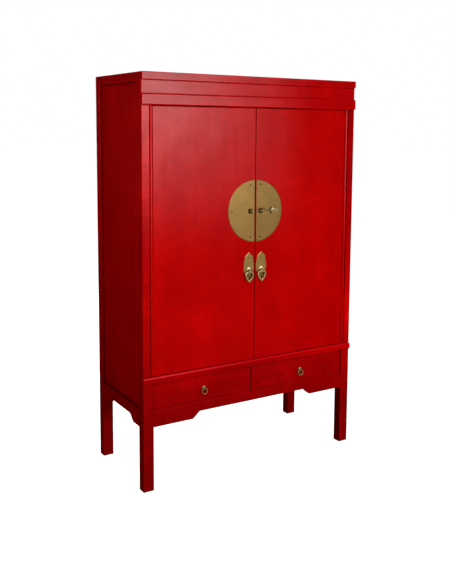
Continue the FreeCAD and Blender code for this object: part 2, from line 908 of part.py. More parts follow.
def staple(label, side):
    """A cast saddle with a waist and two flanges, bored across for the lock pin."""
    body = new_body(label)
    edge = dim.staple_width / 2
    flange_start = edge - dim.staple_flange
    flange = arch(dim.staple_height, dim.staple_depth)
    waist = arch(dim.staple_waist_height, dim.staple_waist_depth)
    grow(body, "YZ_Plane", -edge, edge, waist)
    grow(body, "YZ_Plane", -edge, -flange_start, flange)
    grow(body, "YZ_Plane", flange_start, edge, flange)
    carve(body, "YZ_Plane", -edge, edge, (-dim.staple_reach, 0, dim.staple_bore))
    grow(body, "XZ_Plane", -dim.overrun, dim.shank_length, (0, 0, dim.shank_radius))
    put(body, side * dim.staple_offset, brass_face, lock_height)


def nail_places(side):
    """Where the nails of one door go: round the lock plate's rim, and down the handle plate."""
    places = []
    for turn in (-1, 0, 1):
        angle = turn * dim.nail_angle
        across = dim.lock_plate_shift + dim.nail_circle * cosine(angle)
        places.append((side * across, lock_height + dim.nail_circle * sine(angle)))
    for drop in (dim.handle_nail_drop, dim.handle_low_nail_drop):
        places.append((side * dim.handle_offset, handle_top - drop))
    return places


def door_nails(label, side):
    """Round-headed nails through the brass into the door."""
    into_door = FreeCAD.Rotation(ALONG_X, -90)
    out_of_door = FreeCAD.Rotation(ALONG_X, 90)
    members = []
    for across, height in nail_places(side):
        shank = doc.addObject("Part::Cylinder", "nail_shank")
        bind(shank, "Radius", dim.nail_radius)
        bind(shank, "Height", dim.nail_length)
        shank.Placement.Rotation = into_door
        put(shank, across, brass_face, height)
        head = doc.addObject("Part::Cone", "nail_head")
        bind(head, "Radius1", dim.nail_head_radius)
        bind(head, "Radius2", dim.nail_head_radius * dim.nail_head_share)
        bind(head, "Height", dim.nail_head_height)
        head.Placement.Rotation = out_of_door
        put(head, across, brass_face, height)
        nail = doc.addObject("Part::Fuse", "nail")
        nail.Base = shank
        nail.Tool = head
        members.append(nail)
    group(label, members)


def lock_plate(label, side):
    """Half of the round lock plate, with holes for its nails and for the staple."""
    body = new_body(label)
    edge = dim.lock_plate_gap / 2
    cut = edge - dim.lock_plate_shift
    radius = dim.lock_plate_radius
    rise = square_root(radius * radius - cut * cut)
    outline = [(edge, lock_height - rise, radius - cut), (edge, lock_height + rise)]
    deep = (brass_face, door_front)
    grow(body, "XZ_Plane", *deep, on_side(side, outline))
    holes = [(*place, dim.nail_radius + dim.shank_clearance) for place in nail_places(side)[:3]]
    staple = (side * dim.staple_offset, lock_height, dim.shank_radius + dim.shank_clearance)
    carve(body, "XZ_Plane", *deep, *holes, staple)


def handle_plate(label, side):
    """A long plate with an ogee point, two lobes and a drawn-in tail."""
    body = new_body(label)
    half = [(as_length(0), as_length(0), None)]
    for across_share, down_share, bow_share in handle_outline_shares:
        across = dim.handle_half_width * across_share
        bow = dim.handle_half_width * bow_share
        half.append((across, -dim.handle_length * down_share, bow))
    grow(body, "XZ_Plane", -dim.brass_thickness, as_length(0), both_halves(half))
    eye = (0, -dim.handle_eye_drop, dim.shank_radius + dim.shank_clearance)
    drops = (dim.handle_nail_drop, dim.handle_low_nail_drop)
    nails = [(0, -drop, dim.nail_radius + dim.shank_clearance) for drop in drops]
    carve(body, "XZ_Plane", -dim.brass_thickness, as_length(0), eye, *nails)
    put(body, side * dim.handle_offset, door_front, handle_top)


def pendant(label, side):
    """An open heart that hangs by a small bar in the handle's eye."""
    body = new_body(label)
    bar_top = dim.pendant_bar / 2
    eye_radius = dim.pendant_eye_radius
    wide = dim.pendant_half_width
    shoulder = -dim.pendant_shoulder_drop
    outer = [
        (as_length(0), bar_top, None),
        (eye_radius, bar_top - eye_radius, eye_radius * quarter_bow_share),
        (dim.pendant_neck, -dim.pendant_neck_drop, wide * pendant_bow_shares["neck"]),
        (wide, shoulder, wide * pendant_bow_shares["lobe"]),
        (as_length(0), -dim.pendant_length, wide * pendant_bow_shares["flank"]),
    ]
    inner_wide = wide - dim.pendant_limb
    inner_top = -dim.pendant_neck_drop - dim.pendant_limb
    inner = [
        (as_length(0), inner_top, None),
        (inner_wide, shoulder, inner_wide * pendant_bow_shares["lobe"]),
        (as_length(0), dim.pendant_tip_limb - dim.pendant_length, inner_wide * pendant_bow_shares["flank"]),
    ]
    half_thick = dim.pendant_thickness / 2
    grow(body, "XZ_Plane", -half_thick, half_thick, both_halves(outer))
    eye_hole = (0, -bar_top - dim.pendant_eye_hole, dim.pendant_eye_hole)
    carve(body, "XZ_Plane", -half_thick, half_thick, both_halves(inner), eye_hole)
    put(body, side * dim.handle_offset, brass_face - dim.pull_reach, handle_eye_height)


def lock_head_outline():
    """A flat bud that opens from a flared collar, drawn out from the end of the pin."""
    upper = []
    for along_share, across_share, bow_share in lock_head_shares:
        along = dim.lock_pin_length + dim.lock_head_length * along_share
        across = dim.lock_head_half_height * across_share
        upper.append((along, across, dim.lock_head_half_height * bow_share))
    lower = [(spot[0], -spot[1], after[2]) for spot, after in zip(upper, upper[1:])]
    return [upper[0][:2]] + upper[1:] + lower[::-1]


def lock_pin():
    """A round tapered pin with a flat flared head, drawn back clear of the left door."""
    body = new_body("lock_pin")
    radius = dim.lock_pin_radius
    boss_x = dim.lock_pin_length + dim.lock_head_length * lock_boss_share
    shaft = [
        (0, 0),
        (boss_x, 0),
        (boss_x, radius),
        (dim.lock_pin_taper, radius),
        (0, dim.lock_pin_tip_radius),
    ]
    spin(body, "XY_Plane", as_length(0), "H_Axis", shaft)
    half_thick = dim.lock_head_thickness / 2
    grow(body, "XZ_Plane", -half_thick, half_thick, lock_head_outline())
    boss = (boss_x, 0, dim.lock_head_boss)
    boss_reach = half_thick + dim.lock_head_rise
    grow(body, "XZ_Plane", -boss_reach, boss_reach, boss)
    tip_x = door_inner_edge + dim.lock_pin_clear
    put(body, tip_x, brass_face - dim.staple_reach, lock_height)


# The doors
def door_panel(label, side):
    """A flush panel with eased front arrises, grooved for the stile and bored for the brass."""
    body = new_body(label)
    wide = span(side, door_inner_edge, door_outer_edge)
    grow(body, "XZ_Plane", door_front, door_back, rectangle(*wide, door_low, door_high))
    soften(body, dim.door_round, lambda edge: lies(edge, y=door_front))
    groove_x = span(side, tongue_end, door_outer_edge)
    groove = rectangle(*groove_x, pivot_y, tongue_back)
    carve(body, "XY_Plane", door_low, door_high, groove)
    shank = dim.shank_radius + dim.shank_clearance
    shank_bores = [
        (side * dim.staple_offset, lock_height, shank),
        (side * dim.handle_offset, handle_eye_height, shank),
    ]
    shank_end = door_front + dim.shank_length + dim.pin_end_gap
    carve(body, "XZ_Plane", door_front, shank_end, *shank_bores)
    nail_end = brass_face + dim.nail_length + dim.pin_end_gap
    nail_bore = dim.nail_radius + dim.shank_clearance
    nail_bores = [(*place, nail_bore) for place in nail_places(side)]
    carve(body, "XZ_Plane", door_front, nail_end, *nail_bores)


def pivot_stile(label, side):
    """The round stile that the door hangs on: a bar, a tongue for the panel and two pins."""
    body = new_body(label)
    bar = (side * pivot_x, pivot_y, dim.pivot_radius)
    pin = (side * pivot_x, pivot_y, dim.pivot_pin_radius)
    bar_low = belt_top + dim.stile_end_gap
    bar_high = band_bottom - dim.stile_end_gap
    grow(body, "XY_Plane", bar_low, bar_high, bar)
    tongue_x = span(side, tongue_end, pivot_x)
    tongue = rectangle(*tongue_x, pivot_y, tongue_back)
    grow(body, "XY_Plane", door_low, door_high, tongue)
    grow(body, "XY_Plane", belt_top - dim.lower_pin_length, bar_low, pin)
    grow(body, "XY_Plane", bar_high, band_bottom + dim.upper_pin_length, pin)


def door_battens(label, side):
    """Two battens across the back of a door keep its panel flat."""
    near = door_inner_edge + dim.batten_end_space
    far = door_outer_edge - dim.batten_end_space
    places = (*span(side, near, far), door_back, door_back + dim.batten_thickness)
    lower = door_low + dim.batten_rise
    upper = door_high - dim.batten_rise - dim.batten_height
    group(label, [plain_box("batten", *places, low, low + dim.batten_height) for low in (lower, upper)])


def door(name, side):
    door_panel(f"door_panel_{name}", side)
    pivot_stile(f"pivot_stile_{name}", side)
    door_battens(f"door_battens_{name}", side)
    lock_plate(f"lock_plate_{name}", side)
    staple(f"staple_{name}", side)
    handle_plate(f"handle_plate_{name}", side)
    eye = pull_eye(f"handle_eye_{name}", dim.handle_rosette_radius)
    put(eye, side * dim.handle_offset, brass_face, handle_eye_height)
    door_nails(f"door_nails_{name}", side)
    pendant(f"pendant_{name}", side)


# The drawers
def drawer_front(label, side):
    """The front board with eased arrises, grooved for the bottom and bored for the pull."""
    body = new_body(label)
    wide = span(side, drawer_inner, drawer_outer)
    outline = rectangle(*wide, drawer_low, drawer_high)
    grow(body, "XZ_Plane", door_front, drawer_front_back, outline)
    soften(body, dim.drawer_front_round, lambda edge: lies(edge, y=door_front))
    deep = (drawer_front_back - dim.drawer_groove_depth, drawer_front_back)
    groove = rectangle(*drawer_bottom_widths(side), *deep)
    carve(body, "XY_Plane", drawer_bottom_low, drawer_bottom_high, groove)
    bore = (side * pull_x, pull_height, dim.shank_radius + dim.shank_clearance)
    carve(body, "XZ_Plane", door_front, door_front + dim.shank_length + dim.pin_end_gap, bore)


def drawer_bottom_widths(side):
    """Across the drawer's inside and into the grooves of both sides."""
    into_side = dim.drawer_side_gap + dim.drawer_side_thickness - dim.drawer_groove_depth
    return span(side, drawer_inner + into_side, drawer_outer - into_side)


def drawer_side(label, side, outer):
    """A side board with the bottom's groove along its inner face."""
    body = new_body(label)
    if outer:
        far = drawer_outer - dim.drawer_side_gap
        near = far - dim.drawer_side_thickness
        groove = (near, near + dim.drawer_groove_depth)
    else:
        near = drawer_inner + dim.drawer_side_gap
        far = near + dim.drawer_side_thickness
        groove = (far - dim.drawer_groove_depth, far)
    long = (drawer_front_back, drawer_end)
    grow(body, "XY_Plane", drawer_box_low, drawer_high, rectangle(*span(side, near, far), *long))
    cut = rectangle(*span(side, *groove), *long)
    carve(body, "XY_Plane", drawer_bottom_low, drawer_bottom_high, cut)


def drawer(name, side):
    drawer_front(f"drawer_front_{name}", side)
    drawer_side(f"drawer_side_outer_{name}", side, True)
    drawer_side(f"drawer_side_inner_{name}", side, False)
    bottom_y = (drawer_front_back - dim.drawer_groove_depth, drawer_end)
    bottom_z = (drawer_bottom_low, drawer_bottom_high)
    board(f"drawer_bottom_{name}", *drawer_bottom_widths(side), *bottom_y, *bottom_z)
    inside = dim.drawer_side_gap + dim.drawer_side_thickness
    back_x = span(side, drawer_inner + inside, drawer_outer - inside)
    back_y = (drawer_end - dim.drawer_side_thickness, drawer_end)
    back_high = drawer_high - dim.drawer_back_drop
    board(f"drawer_back_{name}", *back_x, *back_y, drawer_bottom_high, back_high)
    eye = pull_eye(f"drawer_eye_{name}", dim.rosette_radius)
    put(eye, side * pull_x, door_front, pull_height)
    ring_pull(f"ring_{name}", side)


def ring_pull(label, side):
    """A plain ring that hangs in the drawer's eye."""
    ring = doc.addObject("Part::Torus", label)
    ring.Label = label
    bind(ring, "Radius1", dim.ring_radius)
    bind(ring, "Radius2", dim.ring_wire_radius)
    ring.Placement.Rotation = FreeCAD.Rotation(ALONG_X, 90)
    put(ring, side * pull_x, door_front - dim.pull_reach, pull_height - dim.ring_radius)
    subparts.append(ring)


def build_cabinet():
    for label, side, at_front in (
        ("post_front_left", LEFT, True),
        ("post_front_right", RIGHT, True),
        ("post_rear_left", LEFT, False),
        ("post_rear_right", RIGHT, False),
    ):
        corner_post(label, side, at_front)
    glides()
    top_board()
    frieze()
    band_rail()
    belt_rail()
    front_apron()
    side_apron("side_apron_left", LEFT)
    side_apron("side_apron_right", RIGHT)
    back_rail()
    panels()
    shelves()
    door_stop()
    drawer_frame()
    for name, side in (("left", LEFT), ("right", RIGHT)):
        door(name, side)
        drawer(name, side)
    lock_pin()


def check_and_write():
    """Stops if anything failed, and then writes one file for each sub-part."""
    doc.recompute()
    for item in doc.Objects:
        if "Invalid" in item.State or "Error" in item.State:
            raise RuntimeError(f"{item.Name} did not build: {item.State}")
    for item in subparts:
        if item.Shape.isNull() or not item.Shape.isValid():
            raise RuntimeError(f"{item.Label} has no sound shape")
    os.makedirs("parts", exist_ok=True)
    for item in subparts:
        item.Shape.exportStep(f"parts/{item.Label}.step")
    print(len(subparts), "sub-parts written")


build_cabinet()
check_and_write()
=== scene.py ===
# %% [markdown]
# # A red wedding cabinet
# A tall cupboard in glossy red lacquer: straight legs, a moulded cornice, two flush doors that turn
# on wooden pivots, a round brass lock plate with a sliding pin, and two drawers with ring pulls.
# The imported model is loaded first, as a fixed frame in metres. Its boards already have their real
# shapes, so this scene gives them their finish and makes the small brass pieces again, finer.

import json
import math

import bmesh
import bpy
from mathutils import Matrix, Vector

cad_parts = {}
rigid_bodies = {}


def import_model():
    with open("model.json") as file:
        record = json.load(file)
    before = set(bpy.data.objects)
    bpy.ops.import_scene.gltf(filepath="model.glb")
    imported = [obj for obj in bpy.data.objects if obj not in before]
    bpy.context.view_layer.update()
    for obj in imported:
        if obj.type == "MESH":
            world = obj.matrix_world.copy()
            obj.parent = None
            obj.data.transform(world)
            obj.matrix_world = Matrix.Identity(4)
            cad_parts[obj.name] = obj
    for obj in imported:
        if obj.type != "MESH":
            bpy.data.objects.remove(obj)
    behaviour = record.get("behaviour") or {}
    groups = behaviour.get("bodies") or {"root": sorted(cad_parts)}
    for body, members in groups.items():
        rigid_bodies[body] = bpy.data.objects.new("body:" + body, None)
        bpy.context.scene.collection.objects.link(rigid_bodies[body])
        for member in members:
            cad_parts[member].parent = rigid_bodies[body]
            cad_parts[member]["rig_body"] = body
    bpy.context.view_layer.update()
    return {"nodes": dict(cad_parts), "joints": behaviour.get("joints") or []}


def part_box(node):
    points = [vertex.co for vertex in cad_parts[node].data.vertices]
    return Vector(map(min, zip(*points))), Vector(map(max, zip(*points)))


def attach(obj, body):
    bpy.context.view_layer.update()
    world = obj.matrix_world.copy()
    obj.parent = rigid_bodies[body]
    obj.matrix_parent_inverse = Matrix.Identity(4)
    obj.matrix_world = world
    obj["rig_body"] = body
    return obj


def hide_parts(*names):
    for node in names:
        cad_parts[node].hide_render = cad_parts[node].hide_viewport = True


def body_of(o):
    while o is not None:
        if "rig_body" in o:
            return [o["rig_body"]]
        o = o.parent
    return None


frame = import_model()
nodes = frame["nodes"]

# %% [markdown]
# ## The camera
# A camera is its place, its turn and its lens. All three could be set by eye, but a tall cabinet
# shows every error in its long straight edges. So they come from lining up the cabinet's corners
# with the photograph, with the width, depth and height held. The picture was cut from a larger one,
# so its middle is not where the lens points: a small shift of the lens puts that right.

# %% The lens
IMAGE_HEIGHT = 584
IMAGE_FOCAL = 782.45
IMAGE_SHIFT = (25.13, -75.23)
SENSOR = 36.0

lens = bpy.data.cameras.new("camera")
lens.sensor_fit = "AUTO"
lens.sensor_width = SENSOR
lens.lens = IMAGE_FOCAL * SENSOR / IMAGE_HEIGHT
lens.shift_x = -IMAGE_SHIFT[0] / IMAGE_HEIGHT
lens.shift_y = IMAGE_SHIFT[1] / IMAGE_HEIGHT
print("lens", round(lens.lens, 2), "mm")

# %% The camera's place
CAMERA_PLACE = Vector((-1.7044, -2.8466, 1.4008))
CAMERA_TURN = 0.5690
CAMERA_TILT = -0.1137
CAMERA_ROLL = 0.0091


def camera_axes(turn, tilt, roll):
    """The directions to the right of, above and behind a camera."""
    ahead = Vector((math.sin(turn) * math.cos(tilt), math.cos(turn) * math.cos(tilt), math.sin(tilt)))
    level = Vector((math.cos(turn), -math.sin(turn), 0))
    above = level.cross(ahead)
    right = math.cos(roll) * level + math.sin(roll) * above
    up = math.cos(roll) * above - math.sin(roll) * level
    return right, up, -ahead


camera = bpy.data.objects.new("camera", lens)
turned = Matrix(camera_axes(CAMERA_TURN, CAMERA_TILT, CAMERA_ROLL)).transposed()
camera.matrix_world = Matrix.Translation(CAMERA_PLACE) @ turned.to_4x4()
bpy.context.scene.collection.objects.link(camera)
bpy.context.scene.camera = camera
bpy.context.scene.view_settings.view_transform = "Standard"
print("camera", round(CAMERA_PLACE.xy.length, 2), "m from the cabinet's middle, seen from above")

# %% [markdown]
# ## Light and floor
# Lacquer looks like lacquer only when it mirrors something. A picture of a real room could be that
# something, but four plain lamps are easier to place and to change. A large soft window stands far
# off in front, to the right: the doors are a flat mirror, so its pale sheen shows at their upper
# left, as seen from the camera, and fades down and to the right. It also lights the whole front. A
# small key lamp, high on the right, models the mouldings, and a fill on the left keeps that side a
# deep red. A lamp behind does nothing for this view, and lights the back and the right side for the
# others.

# %% Lamps
LAMPS = {
    # name: place, the point that it faces, width, height, watts
    "window": ((2.76, -8.0, 1.89), (0.0, 0.0, 1.1), 2.23, 1.16, 565.0),
    "key": ((2.6, -5.2, 4.2), (0.0, 0.0, 0.9), 1.2, 1.2, 25.0),
    "fill": ((-2.9, -2.2, 2.6), (-0.3, 0.0, 1.0), 1.4, 1.4, 64.0),
    "back": ((1.5, 3.0, 2.3), (0.0, 0.0, 0.9), 1.4, 1.4, 70.0),
}


def soft_lamp(name, place, aim, width, height, watts):
    """A rectangular area lamp at a place, facing a point."""
    light = bpy.data.lights.new(name, "AREA")
    light.shape = "RECTANGLE"
    light.size = width
    light.size_y = height
    light.energy = watts
    lamp = bpy.data.objects.new(name, light)
    facing = (Vector(aim) - Vector(place)).to_track_quat("-Z", "Y")
    lamp.matrix_world = Matrix.Translation(place) @ facing.to_matrix().to_4x4()
    bpy.context.scene.collection.objects.link(lamp)
    print(name, "shines with", watts, "W")


for name, settings in LAMPS.items():
    soft_lamp(name, *settings)

# %% [markdown]
# The room is white where the camera, a mirror or glass looks at it, and much dimmer as a light.
# A Light Path node tells the two kinds of ray apart. The pale floor uses the same trick: its own
# colour catches the cabinet's shadow, and a lift that only those rays see brings the rest to white.

# %% What the rays see
def seen_directly(tree):
    """One for rays from the camera, from gloss and through glass, and nought for the others."""
    rays = tree.nodes.new("ShaderNodeLightPath")
    total = rays.outputs["Is Camera Ray"]
    for label in ("Is Glossy Ray", "Is Transmission Ray"):
        adding = tree.nodes.new("ShaderNodeMath")
        adding.operation = "ADD"
        adding.use_clamp = True
        tree.links.new(total, adding.inputs[0])
        tree.links.new(rays.outputs[label], adding.inputs[1])
        total = adding.outputs[0]
    return total


# %% The white room
ROOM_LIGHT = 0.12
ROOM_WHITE = 1.0

world = bpy.data.worlds.new("room")
bpy.context.scene.world = world
world.use_nodes = True
room = world.node_tree
room.nodes.clear()
choose = room.nodes.new("ShaderNodeMixShader")
for number, strength in ((1, ROOM_LIGHT), (2, ROOM_WHITE)):
    glow = room.nodes.new("ShaderNodeBackground")
    glow.inputs["Color"].default_value = (1, 1, 1, 1)
    glow.inputs["Strength"].default_value = strength
    room.links.new(glow.outputs[0], choose.inputs[number])
room.links.new(seen_directly(room), choose.inputs[0])
out = room.nodes.new("ShaderNodeOutputWorld")
room.links.new(choose.outputs[0], out.inputs["Surface"])
print("the room lights with", ROOM_LIGHT)


# %% Material and mesh helpers
def new_material(name):
    """A material with nothing in it but its output."""
    material = bpy.data.materials.new(name)
    material.use_nodes = True
    material.node_tree.nodes.clear()
    material.node_tree.nodes.new("ShaderNodeOutputMaterial").name = "out"
    return material


def piece_from(name, maker, material):
    """Turns a bmesh into an object with one material, and frees the bmesh."""
    mesh = bpy.data.meshes.new(name)
    maker.to_mesh(mesh)
    maker.free()
    mesh.materials.append(material)
    piece = bpy.data.objects.new(name, mesh)
    bpy.context.scene.collection.objects.link(piece)
    return piece


# %% The floor's paint
FLOOR_COLOUR = 0.8
FLOOR_LIFT = 0.91

floor_paint = new_material("pale_floor")
tree = floor_paint.node_tree
diffuse = tree.nodes.new("ShaderNodeBsdfDiffuse")
diffuse.inputs["Color"].default_value = (FLOOR_COLOUR, FLOOR_COLOUR, FLOOR_COLOUR, 1)
amount = tree.nodes.new("ShaderNodeMath")
amount.operation = "MULTIPLY"
amount.inputs[1].default_value = FLOOR_LIFT
tree.links.new(seen_directly(tree), amount.inputs[0])
lift = tree.nodes.new("ShaderNodeEmission")
tree.links.new(amount.outputs[0], lift.inputs["Strength"])
together = tree.nodes.new("ShaderNodeAddShader")
tree.links.new(diffuse.outputs[0], together.inputs[0])
tree.links.new(lift.outputs[0], together.inputs[1])
tree.links.new(together.outputs[0], tree.nodes["out"].inputs["Surface"])
print(floor_paint.name, "lifted by", FLOOR_LIFT)

# %% The floor
FLOOR_HALF = 40.0

ground = bmesh.new()
bmesh.ops.create_grid(ground, x_segments=1, y_segments=1, size=FLOOR_HALF)
floor = piece_from("floor", ground, floor_paint)
print("floor", 2 * FLOOR_HALF, "m across")

# %% [markdown]
# ## Effects that several finishes share
# A finish could be a painted picture wrapped round each board, but that needs its own unwrapping
# and shows its pixels close by. Here every effect is worked out from the place on the piece, as a
# small node group that puts out a mask. *Fibres* draws noise far out along one direction, which
# reads as wood grain or as brush lines. *Clouds* is a slow change of tone, as left by hand-rubbed
# lacquer. *Arris* finds the edges: it compares the true normal with one that is rounded over a
# small radius, and the two differ only near an edge. *Recess* finds the corners that little light
# reaches, and the finishes paint shade into them.

# %% Node helpers
def new_group(name, sockets_in, sockets_out):
    """An empty shader node group with named inputs and outputs."""
    group = bpy.data.node_groups.new(name, "ShaderNodeTree")
    for label, kind, default in sockets_in:
        socket = group.interface.new_socket(label, in_out="INPUT", socket_type=kind)
        if default is not None:
            socket.default_value = default
    for label, kind in sockets_out:
        group.interface.new_socket(label, in_out="OUTPUT", socket_type=kind)
    start = group.nodes.new("NodeGroupInput")
    end = group.nodes.new("NodeGroupOutput")
    return group, start, end


def feed(tree, socket, value):
    """Gives a socket a number, a colour or the output of another node."""
    if isinstance(value, bpy.types.NodeSocket):
        tree.links.new(value, socket)
    elif isinstance(value, (int, float)) or socket.type == "VECTOR":
        socket.default_value = value
    else:
        socket.default_value = (*value, 1.0)


# %% Numbers in nodes
def math_of(tree, operation, first, second):
    """A math node on two numbers or sockets."""
    node = tree.nodes.new("ShaderNodeMath")
    node.operation = operation
    feed(tree, node.inputs[0], first)
    feed(tree, node.inputs[1], second)
    return node.outputs[0]


def spread(tree, value, low, high, to_low=0.0, to_high=1.0):
    """Spreads values from low..high over to_low..to_high, without going past them."""
    node = tree.nodes.new("ShaderNodeMapRange")
    node.interpolation_type = "SMOOTHSTEP"
    for label, number in (("From Min", low), ("From Max", high), ("To Min", to_low), ("To Max", to_high)):
        node.inputs[label].default_value = number
    tree.links.new(value, node.inputs["Value"])
    return node.outputs["Result"]


def noise_mask(tree, place, scale, detail, roughness, low, high):
    """Noise, spread so that it fills the range from nought to one."""
    noise = tree.nodes.new("ShaderNodeTexNoise")
    feed(tree, noise.inputs["Vector"], place)
    feed(tree, noise.inputs["Scale"], scale)
    noise.inputs["Detail"].default_value = detail
    noise.inputs["Roughness"].default_value = roughness
    return spread(tree, noise.outputs["Fac"], low, high)


# %% Fibres
PORES_FINER = 6.0

fibres, start, end = new_group(
    "fibres",
    (("Vector", "NodeSocketVector", None), ("Stretch", "NodeSocketVector", (1, 1, 1)),
     ("Scale", "NodeSocketFloat", 20.0)),
    (("Bands", "NodeSocketFloat"), ("Pores", "NodeSocketFloat")),
)
drawn = fibres.nodes.new("ShaderNodeVectorMath")
drawn.operation = "MULTIPLY"
fibres.links.new(start.outputs["Vector"], drawn.inputs[0])
fibres.links.new(start.outputs["Stretch"], drawn.inputs[1])
coarse = start.outputs["Scale"]
finer = math_of(fibres, "MULTIPLY", coarse, PORES_FINER)
bands = noise_mask(fibres, drawn.outputs[0], coarse, detail=5.0, roughness=0.62, low=0.34, high=0.68)
pores = noise_mask(fibres, drawn.outputs[0], finer, detail=3.0, roughness=0.70, low=0.48, high=0.66)
fibres.links.new(bands, end.inputs["Bands"])
fibres.links.new(pores, end.inputs["Pores"])

# %% Clouds
clouds, start, end = new_group(
    "clouds",
    (("Vector", "NodeSocketVector", None), ("Scale", "NodeSocketFloat", 3.0)),
    (("Mask", "NodeSocketFloat"),),
)
where, size = start.outputs["Vector"], start.outputs["Scale"]
drift = noise_mask(clouds, where, size, detail=6.0, roughness=0.64, low=0.33, high=0.67)
clouds.links.new(drift, end.inputs["Mask"])

# %% Arris
EDGE_BEGINS, EDGE_FULL = 0.985, 0.80

arris, start, end = new_group(
    "arris",
    (("Radius", "NodeSocketFloat", 0.002),),
    (("Mask", "NodeSocketFloat"), ("Normal", "NodeSocketVector")),
)
rounded = arris.nodes.new("ShaderNodeBevel")
rounded.samples = 4
true_normal = arris.nodes.new("ShaderNodeNewGeometry")
agreement = arris.nodes.new("ShaderNodeVectorMath")
agreement.operation = "DOT_PRODUCT"
arris.links.new(start.outputs["Radius"], rounded.inputs["Radius"])
arris.links.new(rounded.outputs["Normal"], agreement.inputs[0])
arris.links.new(true_normal.outputs["Normal"], agreement.inputs[1])
arris.links.new(spread(arris, agreement.outputs["Value"], EDGE_BEGINS, EDGE_FULL), end.inputs["Mask"])
arris.links.new(rounded.outputs["Normal"], end.inputs["Normal"])

# %% Recess
DIM_BEGINS, DIM_FULL = 0.92, 0.42

# One where ambient occlusion finds a corner: the finishes paint shade with this mask.
recess, start, end = new_group(
    "recess",
    (("Reach", "NodeSocketFloat", 0.02),),
    (("Mask", "NodeSocketFloat"),),
)
corner = recess.nodes.new("ShaderNodeAmbientOcclusion")
corner.samples = 4
recess.links.new(start.outputs["Reach"], corner.inputs["Distance"])
recess.links.new(spread(recess, corner.outputs["AO"], DIM_BEGINS, DIM_FULL), end.inputs["Mask"])
print("groups", [group.name for group in (fibres, clouds, arris, recess)])

# %% [markdown]
# ## Mixing a finish
# A finish is built up as a painter does it: one colour first, then others over it, each let through
# by a mask. These helpers place a group in a material, blend colours and raise a relief, and every
# finish below uses them.

# %% Mixing helpers
def place_group(tree, group, **values):
    """Puts a node group in a material, with its own values."""
    node = tree.nodes.new("ShaderNodeGroup")
    node.node_tree = group
    for label, value in values.items():
        feed(tree, node.inputs[label], value)
    return node


def mixed(tree, share, first, second):
    """One colour blended into another by a share."""
    node = tree.nodes.new("ShaderNodeMix")
    node.data_type = "RGBA"
    colours = [socket for socket in node.inputs if socket.type == "RGBA"]
    feed(tree, node.inputs[0], share)
    feed(tree, colours[0], first)
    feed(tree, colours[1], second)
    return [socket for socket in node.outputs if socket.type == "RGBA"][0]


def tinted(tree, colour, mask, share, tone):
    """A colour with a tone laid over it where a mask is, up to a share."""
    return mixed(tree, math_of(tree, "MULTIPLY", mask, share), colour, tone)


def shaded(colour, factor):
    """A plain colour made darker or lighter."""
    return tuple(part * factor for part in colour)


def bumped(tree, height, strength, distance, normal):
    """A normal that follows a height on top of another normal."""
    node = tree.nodes.new("ShaderNodeBump")
    node.inputs["Strength"].default_value = strength
    node.inputs["Distance"].default_value = distance
    tree.links.new(height, node.inputs["Height"])
    tree.links.new(normal, node.inputs["Normal"])
    return node.outputs["Normal"]


# %% Places, directions and the shader
def place_on(tree):
    """The place on the piece, in metres of the whole cabinet."""
    return tree.nodes.new("ShaderNodeTexCoord").outputs["Object"]


def part_of(tree, vector, axis):
    """One coordinate of a vector."""
    split = tree.nodes.new("ShaderNodeSeparateXYZ")
    tree.links.new(vector, split.inputs[0])
    return split.outputs[axis]


def shape_normal(tree):
    """The direction that the surface faces."""
    return tree.nodes.new("ShaderNodeNewGeometry").outputs["Normal"]


def new_shader(tree, even, **varied):
    """The main shader of a finish: values that are even all over, and sockets that vary."""
    shader = tree.nodes.new("ShaderNodeBsdfPrincipled")
    for label, value in even.items():
        shader.inputs[label].default_value = value
    for label, socket in varied.items():
        tree.links.new(socket, shader.inputs[label.replace("_", " ")])
    tree.links.new(shader.outputs[0], tree.nodes["out"].inputs["Surface"])


# %% [markdown]
# ## Red lacquer
# Lacquer is red pigment under a clear hard coat, rubbed flat by hand. What shows is a deep red with
# slow clouds of tone, a faint grain that telegraphs through the coat along each board, darker
# lines in the corners, which are painted shade, brighter edges, which are painted highlights, and a
# satin sheen. One plain red would look like plastic, so each of these gets its own mask, and every
# group of boards has its own direction of grain and its own tone.

# %% Masks for lacquer
ALONG = {"x": (0.05, 1.0, 1.0), "y": (1.0, 0.05, 1.0), "z": (1.0, 1.0, 0.05)}
GRAIN_SCALE = 26.0
CLOUD_SCALES = {"slow": 3.0, "small": 10.0, "fine": 42.0}


def lacquer_masks(tree, place, look):
    """The masks of grain, clouds, edges and corners that one lacquer needs, by name."""
    grain = place_group(tree, fibres, Vector=place, Stretch=ALONG[look["grain"]], Scale=GRAIN_SCALE)
    masks = {"bands": grain.outputs["Bands"], "pores": grain.outputs["Pores"]}
    for name, scale in CLOUD_SCALES.items():
        masks[name] = place_group(tree, clouds, Vector=place, Scale=scale).outputs["Mask"]
    edge = place_group(tree, arris, Radius=look["arris"])
    masks["edge"], masks["rounded"] = edge.outputs["Mask"], edge.outputs["Normal"]
    # Edges get a painted highlight, over the arris or over a wider band.
    masks["worn"] = masks["edge"]
    if look["worn_width"]:
        masks["worn"] = place_group(tree, arris, Radius=look["worn_width"]).outputs["Mask"]
    masks["shaded_corners"] = place_group(tree, recess, Reach=look["reach"]).outputs["Mask"]
    return masks


# %% The red under the coat
RED = (0.350, 0.0002, 0.0005)
# A near-black red, painted as shade in corners, near the floor and on the flanks of the posts.
PAINTED_SHADE = (0.020, 0.0002, 0.0003)
CLOUD_TONE = 0.62
STREAK_TONE = 0.50
# A brighter red, painted along the edges as a highlight.
EDGE_HIGHLIGHT_TONE = 1.60


def brightest(tones):
    """The highest tone of a list of heights with their tones."""
    return max(tone for height, tone in tones)


